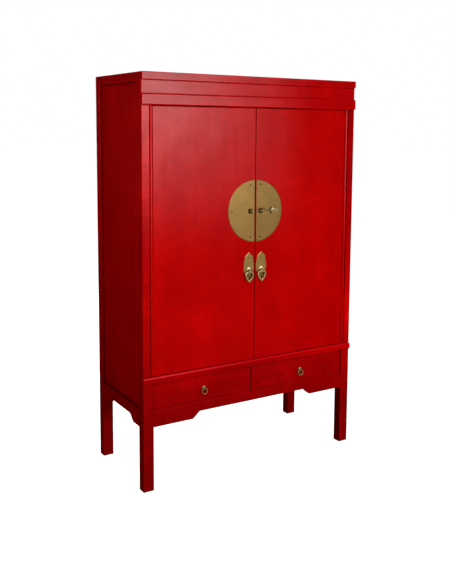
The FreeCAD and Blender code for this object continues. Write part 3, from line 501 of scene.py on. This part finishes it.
def patchy_red(tree, masks, look):
    """Red with clouds of tone, streaks of grain, painted edge highlights and painted shade in corners."""
    red = shaded(RED, brightest(look["tones"]))
    mottle = look["mottle"]
    colour = mixed(tree, masks["slow"], shaded(red, 1.0 - mottle), shaded(red, 1.0 + 0.5 * mottle))
    for name, share, tone in (
        ("small", 2.0 * mottle, CLOUD_TONE), ("fine", 2.0 * mottle, CLOUD_TONE),
        ("bands", look["streak"], STREAK_TONE), ("worn", look["worn"], EDGE_HIGHLIGHT_TONE),
    ):
        colour = tinted(tree, colour, masks[name], share, shaded(red, tone))
    return tinted(tree, colour, masks["shaded_corners"], look["grime"], PAINTED_SHADE)


# %% [markdown]
# A post is not one red from top to bottom: the light falls on it unevenly, and least near the
# floor. A colour ramp over the height paints that light and shade in, as a few heights with their
# tones. A painted picture could hold it too, but a ramp keeps the heights and the tones side by
# side, to be changed one at a time.

# %% Tones along the height
FULL_HEIGHT = 1.6


def shade_along_height(tree, place, tones):
    """How far painted shade darkens the red along the height, from a few heights with their tones."""
    ramp = tree.nodes.new("ShaderNodeValToRGB")
    ramp.color_ramp.interpolation = "EASE"
    stops = ramp.color_ramp.elements
    while len(stops) > 1:
        stops.remove(stops[-1])
    for number, (height, tone) in enumerate(tones):
        stop = stops.new(height / FULL_HEIGHT) if number else stops[0]
        stop.position = height / FULL_HEIGHT
        share = 1.0 - tone / brightest(tones)
        stop.color = (share, share, share, 1.0)
    tree.links.new(math_of(tree, "DIVIDE", part_of(tree, place, "Z"), FULL_HEIGHT), ramp.inputs["Fac"])
    return ramp.outputs["Color"]


# %% [markdown]
# Narrow ledges look up and catch light, and that light is painted on: on the drawers and the rails
# round them as a lighter plain red, and on the belt rail as a pale highlight along the front edge of
# its ledge, towards the left, on a red painted brighter towards the right. The flanks of the front
# posts get painted shade. The direction that a surface faces picks these places out, so they stay
# put on the piece from whatever side the cabinet is seen.

# %% Ledges and flanks
LOOKS_UP = (0.3, 0.8)
LOOKS_ASIDE = (0.3, 0.8)
# Painted light on the ledges, and a painted highlight along the belt rail's front edge.
LEDGE_LIGHT_RED = (0.60, 0.003, 0.005)
LEDGE_HIGHLIGHT_PALE = (0.70, 0.058, 0.068)
LEDGE_HIGHLIGHT_RED = (0.56, 0.004, 0.008)
PALE_TO_RED = (-0.50, 0.0)
LEDGE_FRONT = (-0.2230, -0.2220)
# The belt rail is painted brighter towards the right.
BELT_BRIGHTENS = (0.05, 0.42)
BELT_SHARE = 0.30
BELT_TONE = 1.7
FLANK_FADE = 0.03


def facing_up(tree):
    """One where a surface looks up, and nought where it is upright."""
    return spread(tree, part_of(tree, shape_normal(tree), "Z"), *LOOKS_UP)


def belt_red(tree, place, colour, red):
    """The belt rail, painted brighter to the right; its ledge gets painted light and a painted highlight."""
    across = part_of(tree, place, "X")
    brighter = spread(tree, across, *BELT_BRIGHTENS, 0.0, BELT_SHARE)
    colour = mixed(tree, brighter, colour, shaded(red, BELT_TONE))
    front_line = mixed(tree, spread(tree, across, *PALE_TO_RED, 1.0, 0.0), LEDGE_HIGHLIGHT_RED, LEDGE_HIGHLIGHT_PALE)
    at_front = spread(tree, part_of(tree, place, "Y"), *LEDGE_FRONT, 1.0, 0.0)
    return mixed(tree, facing_up(tree), colour, mixed(tree, at_front, LEDGE_LIGHT_RED, front_line))


def shade_the_flanks(tree, place, colour, share, up_to):
    """A post's colour with painted shade on its flanks, up to a height."""
    aside = math_of(tree, "ABSOLUTE", part_of(tree, shape_normal(tree), "X"), 0.0)
    below = spread(tree, part_of(tree, place, "Z"), up_to - FLANK_FADE, up_to, share, 0.0)
    flank = math_of(tree, "MULTIPLY", spread(tree, aside, *LOOKS_ASIDE), below)
    return mixed(tree, flank, colour, PAINTED_SHADE)


# %% [markdown]
# The sheen comes from the shader's coat. Its sharpness is the same all over a board, but its
# strength is not: it is weaker low down, on the right and on edges, and nearly gone in corners. It
# also fades at low angles, as it does on a surface that was rubbed with fine ash. A roughness that
# varies would blur the reflection where this dims it.

# %% The clear coat
COAT_IOR = 1.144
COAT_FADES = (0.28, 0.62)
GLOSSY_ABOVE = (0.86, 1.22)
GLOSSY_LEFT_OF = (0.02, 0.32)
DULLEST = 0.14
COAT_LEFT = {"low_angle": 0.03, "bands": 0.86, "small": 0.84, "edge": 0.25, "shaded_corners": 0.02}
COAT_GONE_AT = 0.6


def coat_share(tree, place, masks, look):
    """How strong the coat is from place to place."""
    turned_away = tree.nodes.new("ShaderNodeLayerWeight")
    turned_away.inputs["Blend"].default_value = 0.5
    gloss = look["gloss"]
    share = spread(tree, turned_away.outputs["Facing"], *COAT_FADES, 1.0, COAT_LEFT["low_angle"])
    for part in (
        spread(tree, masks["bands"], 0.0, 1.0, 1.0, COAT_LEFT["bands"]),
        spread(tree, masks["small"], 0.0, 1.0, 1.0, COAT_LEFT["small"]),
        spread(tree, part_of(tree, place, "Z"), *GLOSSY_ABOVE, DULLEST * gloss, gloss),
        spread(tree, part_of(tree, place, "X"), *GLOSSY_LEFT_OF, 1.0, look["far_gloss"]),
        spread(tree, masks["edge"], 0.0, 1.0, 1.0, COAT_LEFT["edge"]),
        spread(tree, masks["shaded_corners"], 0.0, COAT_GONE_AT, 1.0, COAT_LEFT["shaded_corners"]),
    ):
        share = math_of(tree, "MULTIPLY", share, part)
    return share


# %% The lacquer recipe
LOOK = {
    # grain along x, y or z; tones at heights; how patchy and how streaky the red is
    "grain": "x", "tones": ((0.0, 1.0),), "mottle": 0.15, "streak": 0.10,
    # rounding of edges; share and width of their painted highlight; painted shade in corners and its reach
    "arris": 0.0015, "worn": 0.4, "worn_width": 0.0, "grime": 0.7, "reach": 0.010,
    # the strength of the coat, what is left of it on the right, and how soft its sheen is
    "gloss": 1.0, "far_gloss": DULLEST, "softness": 0.26,
    # painted light or a painted highlight on a ledge; painted shade on the flanks, as share and top height
    "ledge": None, "flanks": None,
}
PORE_RELIEF = (0.12, 0.0003)


def lacquer(name, **changes):
    """Red lacquer that differs from the plain look in the given ways."""
    look = {**LOOK, **changes}
    material = new_material(name)
    tree = material.node_tree
    place = place_on(tree)
    masks = lacquer_masks(tree, place, look)
    colour = patchy_red(tree, masks, look)
    if len(look["tones"]) > 1:
        colour = mixed(tree, shade_along_height(tree, place, look["tones"]), colour, PAINTED_SHADE)
    if look["ledge"] == "highlighted":
        colour = belt_red(tree, place, colour, shaded(RED, brightest(look["tones"])))
    elif look["ledge"] == "lightened":
        colour = mixed(tree, facing_up(tree), colour, LEDGE_LIGHT_RED)
    if look["flanks"]:
        colour = shade_the_flanks(tree, place, colour, *look["flanks"])
    even = {
        "Roughness": 0.5, "Specular IOR Level": 0.0, "Coat IOR": COAT_IOR,
        "Coat Roughness": look["softness"],
    }
    new_shader(
        tree, even, Base_Color=colour, Coat_Weight=coat_share(tree, place, masks, look),
        Normal=bumped(tree, masks["pores"], *PORE_RELIEF, masks["rounded"]))
    return material


# %% [markdown]
# Now the boards get their lacquer. The doors and their pivots are quite even, the mouldings and the
# cap have the widest painted highlights along their edges, and the posts and the drawers are the
# patchiest. The tone of each group and its ramp over the height are painted light and shade: the
# groups that face the light are brighter, the sides and side aprons darker, and most parts darken
# towards the floor.

# %% Helpers for the boards
SIDES = ("left", "right")


def finish(names, material):
    """Gives nodes of the frame one material."""
    for name in names:
        mesh = nodes[name].data
        mesh.materials.clear()
        mesh.materials.append(material)
    print(material.name, "on", len(names), "pieces")


def both(*parts):
    """The left and the right piece of each kind."""
    return [f"{part}_{side}" for part in parts for side in SIDES]


# %% Lacquer on the doors and their pivots
# The pivots are a brighter red than the doors: a painted highlight on their round bars.
pivots = lacquer(
    "lacquer_pivots", grain="z", tones=((0.0, 1.20),), mottle=0.12, worn=0.0, grime=0.3, reach=0.005,
    gloss=2.4, far_gloss=1.0, softness=0.40)
finish(both("door_panel"), lacquer("lacquer_doors", grain="z", tones=((0.0, 1.10),), mottle=0.17, grime=0.25))
finish(both("pivot_stile"), pivots)
# The door stop is painted almost black, as painted shade in the gap above the doors.
finish(["door_stop"], lacquer("lacquer_in_shade", tones=((0.0, 0.1),), mottle=0.1, gloss=0.0))

# %% Lacquer on the cap and the mouldings
finish(["top_board"], lacquer(
    "lacquer_cap", tones=((0.0, 0.95),), mottle=0.2, streak=0.3, arris=0.003, worn=0.9,
    worn_width=0.011, grime=0.9, reach=0.010, gloss=1.2))
finish(["frieze", "band_rail"], lacquer(
    "lacquer_mouldings", tones=((0.0, 1.08),), mottle=0.16, streak=0.3, arris=0.003, worn=0.9,
    worn_width=0.011, grime=0.9, reach=0.006, gloss=1.2))

# %% Lacquer on the posts
# Each post's tones along the height paint its light and shade, so the two front posts differ.
finish(["post_front_left"], lacquer(
    "lacquer_left_post", grain="z", tones=((0.25, 0.62), (0.60, 1.30), (0.90, 1.12), (1.20, 1.50)),
    mottle=0.40, streak=0.4, flanks=(0.22, FULL_HEIGHT)))
finish(["post_front_right"], lacquer(
    "lacquer_right_post", grain="z", tones=((0.15, 0.56), (0.58, 1.60), (1.10, 1.15), (1.45, 0.92)),
    mottle=0.40, streak=0.4, flanks=(0.62, 0.44), gloss=0.7))
finish(both("post_rear"), lacquer(
    "lacquer_rear_posts", grain="z", tones=((0.0, 0.50), (1.30, 1.40)), mottle=0.40, streak=0.4))

# %% Lacquer on the belt, the drawers and the sides
finish(["belt_rail"], lacquer(
    "lacquer_belt", tones=((0.0, 0.98),), mottle=0.25, streak=0.35, worn=0.8, grime=0.3, gloss=0.6,
    ledge="highlighted"))
finish(["front_apron", "back_rail", "drawer_divider"] + both("drawer_front"), lacquer(
    "lacquer_drawers", tones=((0.26, 0.77), (0.44, 1.08)), mottle=0.36, streak=0.45, worn=0.9,
    grime=0.6, reach=0.014, ledge="lightened"))
finish(both("side_panel"), lacquer(
    "lacquer_sides", grain="z", tones=((0.0, 0.69), (1.30, 1.05)), mottle=0.16, streak=0.30, grime=0.9,
    reach=0.016))
finish(both("side_apron"), lacquer(
    "lacquer_side_aprons", grain="y", tones=((0.0, 0.60),), mottle=0.16, streak=0.25))

# %% [markdown]
# ## Plain wood inside
# Shelves, drawer boxes and runners are not lacquered, because nobody sees them while all is shut.
# They are plain waxed wood, browner, duller and with a stronger grain. The same groups make it:
# only the colours, the shares and the direction along each board change. The front edge of the
# cupboard floor shows between the doors and the belt rail, so it is painted with the frame.

# %% The plain wood recipe
WOOD_LIGHT = (0.38, 0.205, 0.105)
WOOD_DARK = (0.22, 0.105, 0.048)
WOOD_PORES = shaded(WOOD_DARK, 0.6)
WOOD_GRAIN_SCALE, WOOD_CLOUD_SCALE = 18.0, 3.4
WOOD_BANDED, WOOD_PORED, WOOD_WORN = 0.8, 0.5, 0.5
WOOD_SHADE = 0.82
WOOD_ARRIS = 0.0012
WOOD_ROUGHNESS = (0.50, 0.64)
WOOD_RELIEF = (0.3, 0.0004)
PAINT_LINE = 0.001


def plain_wood(name, direction, painted_front=None):
    """Waxed wood with the grain along x, y or z, and a front edge painted with the frame if wanted."""
    material = new_material(name)
    tree = material.node_tree
    place = place_on(tree)
    grain = place_group(tree, fibres, Vector=place, Stretch=ALONG[direction], Scale=WOOD_GRAIN_SCALE)
    slow = place_group(tree, clouds, Vector=place, Scale=WOOD_CLOUD_SCALE)
    edge = place_group(tree, arris, Radius=WOOD_ARRIS)
    colour = mixed(tree, slow.outputs["Mask"], shaded(WOOD_LIGHT, WOOD_SHADE), WOOD_LIGHT)
    for mask, share, tone in (
        (grain.outputs["Bands"], WOOD_BANDED, WOOD_DARK), (grain.outputs["Pores"], WOOD_PORED, WOOD_PORES),
        (edge.outputs["Mask"], WOOD_WORN, WOOD_LIGHT),
    ):
        colour = tinted(tree, colour, mask, share, tone)
    if painted_front:
        paint_ends = painted_front + PAINT_LINE
        painted = spread(tree, part_of(tree, place, "Y"), painted_front, paint_ends, 1.0, 0.0)
        colour = mixed(tree, painted, colour, RED)
    new_shader(
        tree, {"Specular IOR Level": 0.3}, Base_Color=colour,
        Roughness=spread(tree, grain.outputs["Pores"], 0.0, 1.0, *WOOD_ROUGHNESS),
        Normal=bumped(tree, grain.outputs["Pores"], *WOOD_RELIEF, edge.outputs["Normal"]))
    return material


# %% Plain wood on the inside
PAINTED_DEPTH = 0.014

floor_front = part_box("cupboard_floor")[0][1]
finish(["cupboard_floor"], plain_wood("wood_floor", "x", painted_front=floor_front + PAINTED_DEPTH))
finish(["back_panel"], plain_wood("wood_upright", "z"))
across = ["lower_shelf", "upper_shelf"] + both("door_battens", "drawer_back", "drawer_bottom")
finish(across, plain_wood("wood_across", "x"))
running_back = ["shelf_cleats", "drawer_kickers", "runner_centre"]
running_back += both("runner", "drawer_side_outer", "drawer_side_inner")
finish(running_back, plain_wood("wood_running_back", "y"))

# %% [markdown]
# ## Soft arrises on the boards
# A joiner never leaves a sharp edge: each arris is eased by a stroke or two of the plane, and that
# narrow round catches a line of light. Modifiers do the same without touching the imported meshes.
# Weld joins a mesh's triangles, Decimate takes out the lines across flat faces, and Bevel rounds
# what is left.

# %% Eased edges
EASED = 0.0012
WELDED = 0.00002
FLAT_DEGREES = 0.5
SHARP_DEGREES = 40


def ease_edges(name):
    """Rounds the arrises of one board by modifiers."""
    board = nodes[name]
    board.modifiers.new("join", "WELD").merge_threshold = WELDED
    flat = board.modifiers.new("flatten", "DECIMATE")
    flat.decimate_type = "DISSOLVE"
    flat.angle_limit = math.radians(FLAT_DEGREES)
    bevel = board.modifiers.new("ease", "BEVEL")
    bevel.width = EASED
    bevel.segments = 2
    bevel.limit_method = "ANGLE"
    bevel.angle_limit = math.radians(SHARP_DEGREES)
    bevel.use_clamp_overlap = True


eased = ["top_board", "frieze", "band_rail", "belt_rail", "front_apron", "drawer_divider", "back_rail"]
eased += both("post_front", "post_rear", "side_apron", "door_panel", "drawer_front")
for name in eased:
    ease_edges(name)
print(len(eased), "boards eased by", EASED * 1000, "mm")

# %% [markdown]
# ## Finer pieces on the places of packed ones
# The pivot stiles and the brass are made again as joined, smoothly shaded meshes. They could be
# modelled from nothing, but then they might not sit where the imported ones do. So each starts as a
# copy of its node's mesh: the triangles are merged, and the lines across flat faces are dissolved.

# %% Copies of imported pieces
MERGE = 0.000002


def joined_copy(name):
    """A bmesh of a node, with its triangles joined and its flat faces whole."""
    maker = bmesh.new()
    maker.from_mesh(nodes[name].data)
    bmesh.ops.remove_doubles(maker, verts=maker.verts, dist=MERGE)
    bmesh.ops.dissolve_limit(
        maker, angle_limit=math.radians(FLAT_DEGREES), verts=maker.verts, edges=maker.edges)
    return maker


def replace_node(name, maker, material, sharp_degrees):
    """Puts a finished mesh in the place of a node, smooth except at sharp edges."""
    for face in maker.faces:
        face.smooth = True
    piece = piece_from(f"fine_{name}", maker, material)
    piece.data.set_sharp_from_angle(angle=math.radians(sharp_degrees))
    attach(piece, body_of(nodes[name])[0])
    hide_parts(name)
    print(piece.name, len(piece.data.polygons), "faces")


# %% [markdown]
# ## Pivot stiles
# Each door turns on a round stile, whose round front catches a thin upright line of light. Doors
# fitted by hand differ a little: the left bar is slimmer and stands close against its door, with a
# dark gap only towards the post, while the right one keeps its width and hardly moves. The points
# of the bar are told from those of its pins by how far they are from the hinge's axis, and the
# hidden pins are made thinner.

# %% Round bars
BAR_BEGINS, BAR_ENDS = 0.005, 0.007
BAR_SLIMMED = {"left": 0.93, "right": 1.0}
PIN_SLIMMED = 0.60
STILE_SHARP = 30
TOWARDS_THE_DOOR = {"left": 0.0027, "right": 0.0003}
hinge_place = {joint["name"]: Vector(joint["pos_m"]) for joint in frame["joints"] if "pos_m" in joint}


def round_stile(side):
    """A pivot stile with its bar slimmed and moved towards the door, and its pins made thinner."""
    name = f"pivot_stile_{side}"
    maker = joined_copy(name)
    axis = hinge_place[f"door_{side}_swing"]
    away = {vert: (vert.co.xy - axis.xy).length for vert in maker.verts}
    pins = [vert for vert in maker.verts if away[vert] < BAR_BEGINS]
    bar = [vert for vert in maker.verts if BAR_BEGINS < away[vert] < BAR_ENDS]
    for slimmed, chosen in ((PIN_SLIMMED, pins), (BAR_SLIMMED[side], bar)):
        bmesh.ops.scale(maker, vec=(slimmed, slimmed, 1), space=Matrix.Translation(-axis), verts=chosen)
    shift = Vector((-math.copysign(TOWARDS_THE_DOOR[side], axis.x), 0, 0))
    bmesh.ops.translate(maker, vec=shift, verts=bar)
    replace_node(name, maker, pivots, STILE_SHARP)


for side in SIDES:
    round_stile(side)

# %% [markdown]
# ## Brass
# The plates are sheet brass, brushed in one direction and then aged, so their sheen is broad and a
# little uneven, and the rim, which was filed to a bevel, stays brighter and greener. The cast
# pieces are the same metal, smoother on top. All the brass is darker in its corners and hollows,
# and the handle plates are darker behind their hearts: partly tarnish, partly painted shade. A
# metal shows only what it mirrors, tinted by its base colour. That colour is low here, because the
# room is white, and the specular tint keeps the brass golden where it is seen at a low angle.

# %% Behind the hearts
HEART_MIDDLE = (0.0297, 0.0, 0.808)
HEART_SHAPE = (1.0, 0.0, 0.8)
HEART_REACH = (0.012, 0.020)


def on_vector(tree, operation, vector, second=None):
    """A vector math node on a vector and, where it takes one, a second vector."""
    node = tree.nodes.new("ShaderNodeVectorMath")
    node.operation = operation
    tree.links.new(vector, node.inputs[0])
    if second:
        node.inputs[1].default_value = second
    return node.outputs["Value" if operation == "LENGTH" else "Vector"]


def behind_the_heart(tree, place):
    """A mask for the part of a handle plate that its heart covers: tarnish, and painted shadow of the heart.
    """
    folded = on_vector(tree, "ABSOLUTE", place)
    offset = on_vector(tree, "SUBTRACT", folded, HEART_MIDDLE)
    flattened = on_vector(tree, "MULTIPLY", offset, HEART_SHAPE)
    return spread(tree, on_vector(tree, "LENGTH", flattened), *HEART_REACH, 1.0, 0.0)


# %% The brass recipe
BRASS = (0.098, 0.057, 0.0175)
BRASS_RIM = (0.22, 0.185, 0.080)
WORN_RIM = (0.21, 0.16, 0.068)
TARNISH = (0.030, 0.018, 0.007)
AT_THE_EDGE = (0.78, 0.62, 0.38)
LINE_SCALE, BLOTCH_SCALE = 150.0, 22.0
LINE_SHARE, RIM_SHARE = 0.14, 0.7
FILED_RADIUS = 0.0009
LINE_RELIEF = (0.15, 0.0001)
LINES_ROUGHEN = 0.12
EVENLY = (1.0, 1.0, 1.0)


def brass(
        name, metal, roughness, aged, dark_corners=0.95, stretch=EVENLY, rim=WORN_RIM, reach=0.008,
        behind=0.0):
    """Brass with brush lines, a share of tarnish and darker corners. Unless told, it is cast."""
    material = new_material(name)
    tree = material.node_tree
    place = place_on(tree)
    lines = place_group(tree, fibres, Vector=place, Stretch=stretch, Scale=LINE_SCALE)
    slow = place_group(tree, clouds, Vector=place, Scale=BLOTCH_SCALE)
    edge = place_group(tree, arris, Radius=FILED_RADIUS)
    shaded_corners = place_group(tree, recess, Reach=reach)
    colour = metal
    if behind:
        colour = tinted(tree, metal, behind_the_heart(tree, place), behind, shaded(TARNISH, 0.5))
    # Tarnish, brush lines and a brighter rim; the darker corners are partly tarnish, partly painted shade.
    for mask, share, tone in (
        (slow.outputs["Mask"], aged, TARNISH), (lines.outputs["Bands"], LINE_SHARE, TARNISH),
        (edge.outputs["Mask"], RIM_SHARE, rim), (shaded_corners.outputs["Mask"], dark_corners, shaded(TARNISH, 0.3)),
    ):
        colour = tinted(tree, colour, mask, share, tone)
    rough = spread(tree, lines.outputs["Pores"], 0.0, 1.0, roughness, roughness + LINES_ROUGHEN)
    new_shader(
        tree, {"Metallic": 1.0, "Specular Tint": (*AT_THE_EDGE, 1.0)}, Base_Color=colour, Roughness=rough,
        Normal=bumped(tree, lines.outputs["Bands"], *LINE_RELIEF, edge.outputs["Normal"]))
    return material


# %% Sheet brass
SHEET = {"stretch": (0.06, 1.0, 1.0), "aged": 0.22, "dark_corners": 0.85, "rim": BRASS_RIM}

# The right plate is a darker copy of the left, which paints shade on that half of the disc.
lock_brass = {
    "left": brass("brushed_lock_brass", shaded(BRASS, 0.98), roughness=0.32, reach=0.006, **SHEET),
    "right": brass("brushed_lock_brass_right", shaded(BRASS, 0.89), roughness=0.32, reach=0.006, **SHEET),
}
handle_brass = brass(
    "brushed_handle_brass", shaded(BRASS, 1.1), roughness=0.34, reach=0.010, behind=0.35, **SHEET)
print("sheet", [metal.name for metal in (*lock_brass.values(), handle_brass)])

# %% Cast brass and oiled nails
CAST = (0.190, 0.128, 0.054)
POLISHED = (0.34, 0.24, 0.12)
HANDLED = (0.19, 0.137, 0.069)
OILED_IRON = (0.006, 0.004, 0.002)

cast_brass = brass("cast_brass", CAST, roughness=0.34, aged=0.4)
eye_brass = brass("polished_eye_brass", POLISHED, roughness=0.40, aged=0.2)
# The staples are much darker than the other cast brass: partly tarnish, partly painted shade.
staple_brass = brass("dark_staple_brass", shaded(CAST, 0.45), roughness=0.30, aged=0.5)
pin_brass = brass("worn_pin_brass", HANDLED, roughness=0.44, aged=0.6, reach=0.010)
nail_iron = brass(
    "dark_nails", OILED_IRON, roughness=0.60, aged=0.3, dark_corners=0.5, rim=OILED_IRON, reach=0.006)
print("cast", [metal.name for metal in (cast_brass, eye_brass, staple_brass, pin_brass, nail_iron)])

# %% [markdown]
# ## The brass plates
# The lock plate is one disc cut in two, and each handle plate is a long one with an ogee point, two
# lobes and a drawn-in tail. All are sheet, nailed flat on the doors, with an outline filed to a low
# bevel that catches a thin line of light. That bevel is much wider than it is deep, where a plain
# bevel cuts both sides alike. So the front face is inset by its width, and the old outline is set
# back by its depth.

# %% Plates
RIM_WIDTH = 0.0024
RIM_DROP = 0.0006
PLATE_SHARP = 8


def plate(name, material):
    """A sheet metal plate whose outline is filed to a low bevel."""
    maker = joined_copy(name)
    front_y = min(vert.co.y for vert in maker.verts)
    front = [face for face in maker.faces if face.calc_center_median().y < front_y + MERGE]
    bmesh.ops.inset_region(maker, faces=front, thickness=RIM_WIDTH, use_even_offset=True)
    inner = {vert for face in front for vert in face.verts}
    for vert in maker.verts:
        if vert.co.y < front_y + MERGE and vert not in inner:
            vert.co.y += RIM_DROP
    replace_node(name, maker, material, PLATE_SHARP)


for side in SIDES:
    plate(f"lock_plate_{side}", lock_brass[side])
    plate(f"handle_plate_{side}", handle_brass)

# %% [markdown]
# ## The cast pieces
# Staples, hearts, eyes, rings and the lock pin are cast or bent from wire, so nothing on them is
# sharp. The bevel operator rounds what is still sharp in the copies. The eyes and the rings are
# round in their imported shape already, so their rounding is nought: they only get smooth shading.

# %% Cast pieces
SHARP_EDGE = 35
CAST_SHARP = 32


def cast(name, material, rounding):
    """A cast piece with its sharp edges rounded."""
    maker = joined_copy(name)
    if rounding:
        sharp = [edge for edge in maker.edges if edge.calc_face_angle(0) > math.radians(SHARP_EDGE)]
        bmesh.ops.bevel(
            maker, geom=sharp, offset=rounding, offset_type="OFFSET", affect="EDGES", segments=2,
            profile=0.5, material=-1, clamp_overlap=True)
    replace_node(name, maker, material, CAST_SHARP)


CAST_PIECES = {
    # kind: brass, and how far its edges are rounded
    "staple": (staple_brass, 0.0004), "pendant": (cast_brass, 0.0007), "handle_eye": (eye_brass, 0),
    "drawer_eye": (cast_brass, 0), "ring": (cast_brass, 0),
}
for side in SIDES:
    for kind, (metal, rounding) in CAST_PIECES.items():
        cast(f"{kind}_{side}", metal, rounding)
cast("lock_pin", pin_brass, 0.0006)

# %% [markdown]
# ## The nails
# The nails of a door are several small heads in one mesh. Each head is spread a little, as a hammer
# does, around its own middle: the mean of the points that lie round it. To scale the whole mesh at
# once would move the heads apart instead.

# %% Nails
HEAD_REACH = 0.0035
HAMMERED = 1.25


def hammered_nails(name, material):
    """The nails of a door with their heads spread by hammer blows."""
    maker = joined_copy(name)
    middles = []
    for vert in maker.verts:
        near = [other.co for other in maker.verts if (other.co.xz - vert.co.xz).length < 2 * HEAD_REACH]
        middles.append(sum(near, Vector()) / len(near))
    for vert, middle in zip(maker.verts, middles):
        vert.co.x = middle.x + HAMMERED * (vert.co.x - middle.x)
        vert.co.z = middle.z + HAMMERED * (vert.co.z - middle.z)
    replace_node(name, maker, material, CAST_SHARP)


for name in both("door_nails"):
    hammered_nails(name, nail_iron)

# %% [markdown]
# ## Glides
# Under each leg sits a small hard pad that keeps the wood off the floor. It is dark and matt, with
# fine dust in its surface, so the same clouds, made very small, vary its colour and its roughness.

# %% The glides
DUST_SCALE = 300.0
PAD_DARK = (0.02, 0.018, 0.016)
PAD_DUSTY = (0.06, 0.054, 0.048)
PAD_ROUGHNESS = (0.7, 0.9)

glide = new_material("dark_glide")
tree = glide.node_tree
dust = place_group(tree, clouds, Vector=place_on(tree), Scale=DUST_SCALE).outputs["Mask"]
new_shader(
    tree, {}, Base_Color=mixed(tree, dust, PAD_DARK, PAD_DUSTY),
    Roughness=spread(tree, dust, 0.0, 1.0, *PAD_ROUGHNESS))
finish(["glides"], glide)
